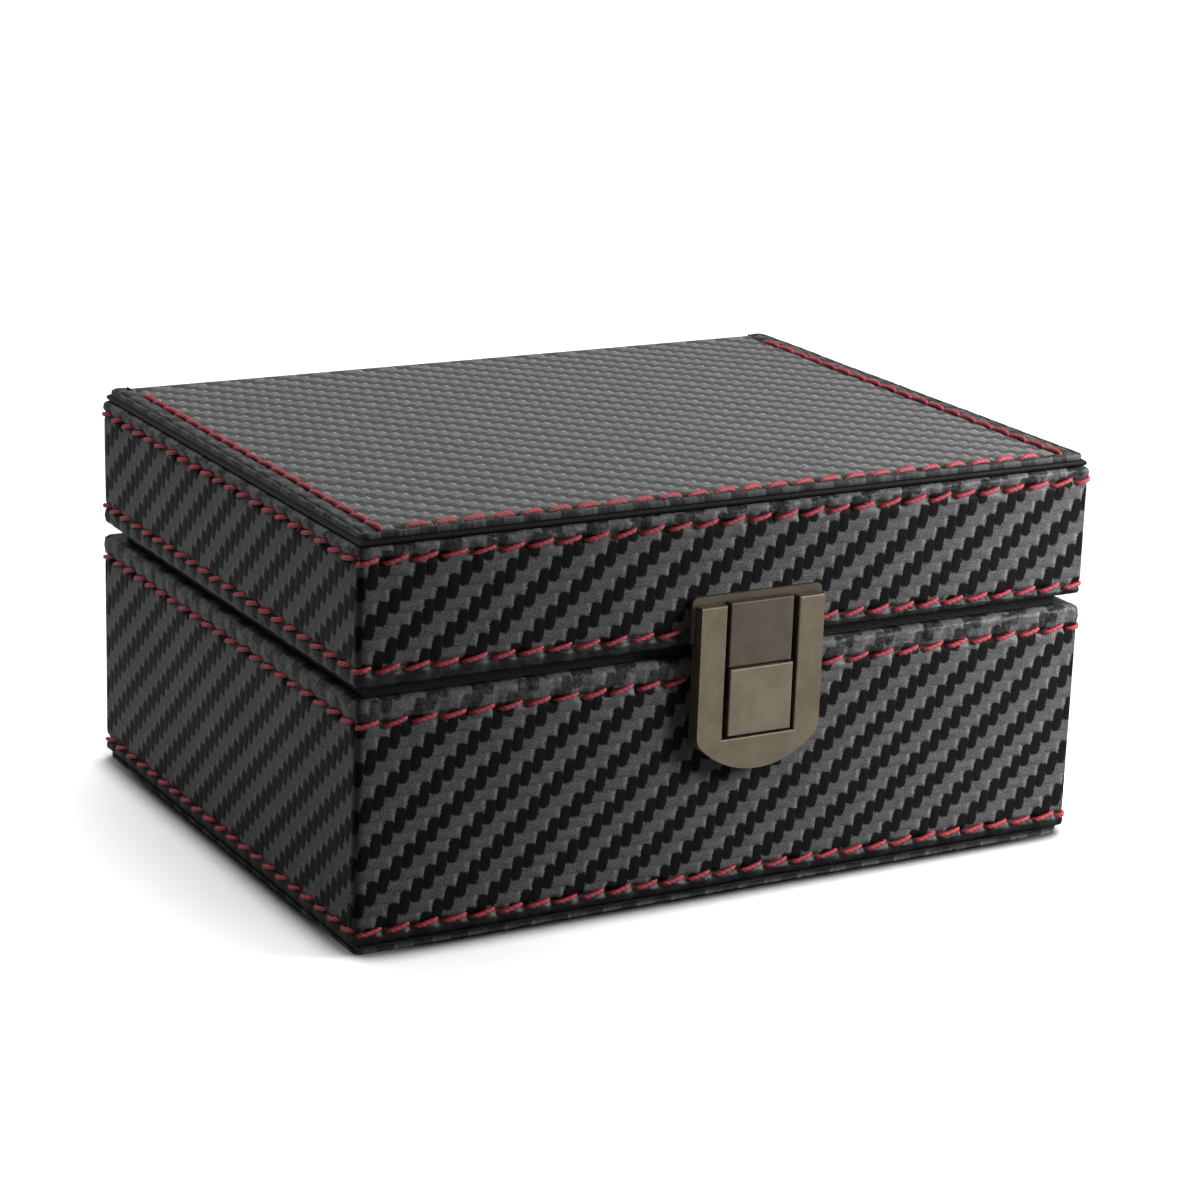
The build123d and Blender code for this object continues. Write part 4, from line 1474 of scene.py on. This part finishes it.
FITTINGS = (
    Fitting(("latch_body", "hinge_base_leaves", "hinge_lid_leaves"), "frame_bronze", 0.12),
    Fitting(("keeper_rivets",), "frame_bronze", 0.1),
    Fitting(("latch_keeper",), "tongue_bronze", 0.1),
    Fitting(("latch_button",), "button_bronze", 0.08),
    Fitting(("latch_back_plate", "latch_rivets"), "steel"),
    Fitting(("hinge_pins", "hinge_base_screws", "hinge_lid_screws"), "frame_bronze"),
    Fitting(("base_neck_front", "base_neck_left", "base_neck_right", "base_neck_rear"), "neck"),
    Fitting(("base_lining", "lid_lining"), "lining"),
    Fitting(("base_shield", "lid_shield"), "shield"),
    Fitting(("lid_edge_welt",), "piping"),
    Fitting(("lid_top_foam",), "foam"),
    Fitting(
        ("base_floor_board", "base_front_board", "base_rear_board", "base_left_board", "base_right_board"),
        "greyboard",
    ),
    Fitting(
        ("lid_top_board", "lid_front_board", "lid_rear_board", "lid_left_board", "lid_right_board"),
        "lid_board",
    ),
)


BASE_LEATHER = Half(
    Body.BASE,
    free_end=1.7,
    free_row=4.3,
    edge_row=41.7,
    board=2.0,
    phases=(4.24, 3.18, 0.0),
    painted_hem_shade=(0.93, 0.0),
    lock_gap=(2.8 - 12.7, 2.8 + 12.7),
    seed=1,
)
LID_LEATHER = Half(
    Body.LID,
    free_end=72.6,
    free_row=70.1,
    edge_row=51.3,
    board=1.6,
    phases=(2.72, 1.52, 0.0, 0.0, 0.0),
    painted_hem_shade=(0.0, 0.8),
    panel_rows=(3.1, 5.1),
    lock_gap=(2.8 - 13.4, 2.8 + 13.4),
    drift=((0.0, 0.4), (118.8, 0.0), (268.8, -1.45), (330.0, -0.9), (385.0, 0.0)),
    seed=2,
)
PADS = (Pad("base_floor_pad", Body.BASE, 1.0), Pad("lid_pad", Body.LID, -1.0))


@dataclass(frozen=True)
class Lamp:
    """A soft area lamp that looks at a point."""

    name: str
    place: tuple[float, float, float]
    target: tuple[float, float, float]
    size: tuple[float, float]
    power: float
    spread: float = 180.0  # degrees

    def build(self) -> None:
        """Makes the lamp."""
        light = bpy.data.lights.new(self.name, "AREA")
        light.shape = "RECTANGLE"
        light.size, light.size_y = self.size
        light.energy = self.power
        light.spread = math.radians(self.spread)
        made = bpy.data.objects.new(self.name, light)
        made.location = self.place
        aim = Vector(self.target) - Vector(self.place)
        made.rotation_euler = aim.to_track_quat("-Z", "Y").to_euler()
        bpy.context.scene.collection.objects.link(made)


@dataclass(frozen=True)
class Studio:
    """A white table and surround, soft lamps and the camera of a product picture."""

    eye: tuple[float, float, float] = (-308.23, -544.88, 224.96)
    yaw: float = -29.816
    pitch: float = -16.485
    roll: float = 2.057
    lens: float = 102.041
    ambient: float = 0.085  # of the white surround, as a light
    bounce: float = 0.05  # of the table, as a light
    lift: float = 0.36
    contact: float = 0.008  # how far the painted contact shadow reaches, in metres
    lamps: tuple[Lamp, ...] = (
        Lamp("lamp_above", (0.02, 0.27, 0.7), (0, 0, 0.03), (0.6, 0.5), 4.5),
        Lamp("lamp_front_right", (0.23, -0.19, 0.145), (0.12, -0.05, 0.04), (0.11, 0.11), 0.82, 120.0),
        Lamp("lamp_left", (-0.9, 0.1, 0.3), (0, 0, 0.03), (0.5, 0.5), 1.15),
    )

    def build(self) -> None:
        """Makes the studio."""
        self.camera()
        self.table()
        self.surround()
        for lamp in self.lamps:
            lamp.build()

    def camera(self) -> None:
        """Makes the camera and makes it the scene's."""
        data = bpy.data.cameras.new("camera")
        data.sensor_width = 36
        data.lens = self.lens
        data.clip_start = 0.01
        camera = bpy.data.objects.new("camera", data)
        yaw, pitch, roll = map(math.radians, (self.yaw, self.pitch, self.roll))
        ahead = Vector((-math.sin(yaw) * math.cos(pitch), math.cos(yaw) * math.cos(pitch), math.sin(pitch)))
        right = ahead.cross(Vector((0, 0, 1))).normalized()
        up = right.cross(ahead)
        turned_right = right * math.cos(roll) + up * math.sin(roll)
        turned_up = up * math.cos(roll) - right * math.sin(roll)
        turn = Matrix((turned_right, turned_up, -ahead)).transposed()
        camera.matrix_world = Matrix.Translation(Vector(self.eye) * METRES) @ turn.to_4x4()
        bpy.context.scene.collection.objects.link(camera)
        bpy.context.scene.camera = camera
        bpy.context.scene.view_settings.view_transform = "Standard"

    def table(self) -> None:
        """Makes the white table, which takes the lamps' shadows, carries a contact shadow painted from ambient
        occlusion and fades into the surround.
        """
        shader = Shader("white_table")
        seen = self.seen(shader)
        x, y, _ = shader.parts(shader.own_place())
        far = (x * x + y * y).power(0.5).step(80.0, 135.0)
        # painted shadow: an ambient occlusion node darkens the table and its glow round the box
        near = shader.node("ShaderNodeAmbientOcclusion", {"samples": 8}, {"Distance": self.contact}, "AO")
        outside_painted_shadow = near.step(0.4, 0.93)
        pale = shader.mix(seen, self.bounce, outside_painted_shadow * 0.95)
        diffuse = shader.node("ShaderNodeBsdfDiffuse", inputs={"Color": pale})
        white = shader.node("ShaderNodeEmission", inputs={"Color": colour(1.0), "Strength": 1.0})
        faded = shader.node("ShaderNodeMixShader", inputs={0: far * seen, 1: diffuse, 2: white})
        lifted = seen * self.lift * outside_painted_shadow
        glow = shader.node("ShaderNodeEmission", inputs={"Color": colour(1.0), "Strength": lifted})
        shader.node_output(shader.node("ShaderNodeAddShader", inputs={0: faded, 1: glow}))
        mesh = bpy.data.meshes.new("table")
        r = 6.0
        mesh.from_pydata([(-r, -r, 0), (r, -r, 0), (r, r, 0), (-r, r, 0)], [], [(0, 1, 2, 3)])
        mesh.materials.append(shader.material)
        made = bpy.data.objects.new("table", mesh)
        bpy.context.scene.collection.objects.link(made)

    def seen(self, shader: Shader) -> Signal:
        """1 where the camera, a reflection or a view through glass sees the background."""
        path = shader.node("ShaderNodeLightPath", output="Is Camera Ray")
        outputs = path.socket.node.outputs
        total = path
        for name in ("Is Glossy Ray", "Is Transmission Ray"):
            total = total.most(Signal(shader, outputs[name]))
        return total

    def surround(self) -> None:
        """Makes a white surround, which lights softly and shows as white."""
        world = bpy.data.worlds.new("white surround")
        world.use_nodes = True
        bpy.context.scene.world = world
        shader = Shader("surround", world.node_tree)
        strength = self.seen(shader) * (1 - self.ambient) + self.ambient
        light = shader.node("ShaderNodeBackground", inputs={"Color": colour(1.0), "Strength": strength})
        shader.node_output(light, "ShaderNodeOutputWorld")


def main() -> None:
    """Builds the looks of the key box."""
    logging.basicConfig(level=logging.INFO, format="%(name)s: %(message)s")
    wardrobe = Wardrobe.made()
    for half in (BASE_LEATHER, LID_LEATHER):
        half.build(wardrobe)
    for pad in PADS:
        pad.build(wardrobe)
    LeafSpring().build(wardrobe)
    for fitting in FITTINGS:
        fitting.dress(wardrobe)
    Studio().build()


if __name__ == "__main__":
    main()
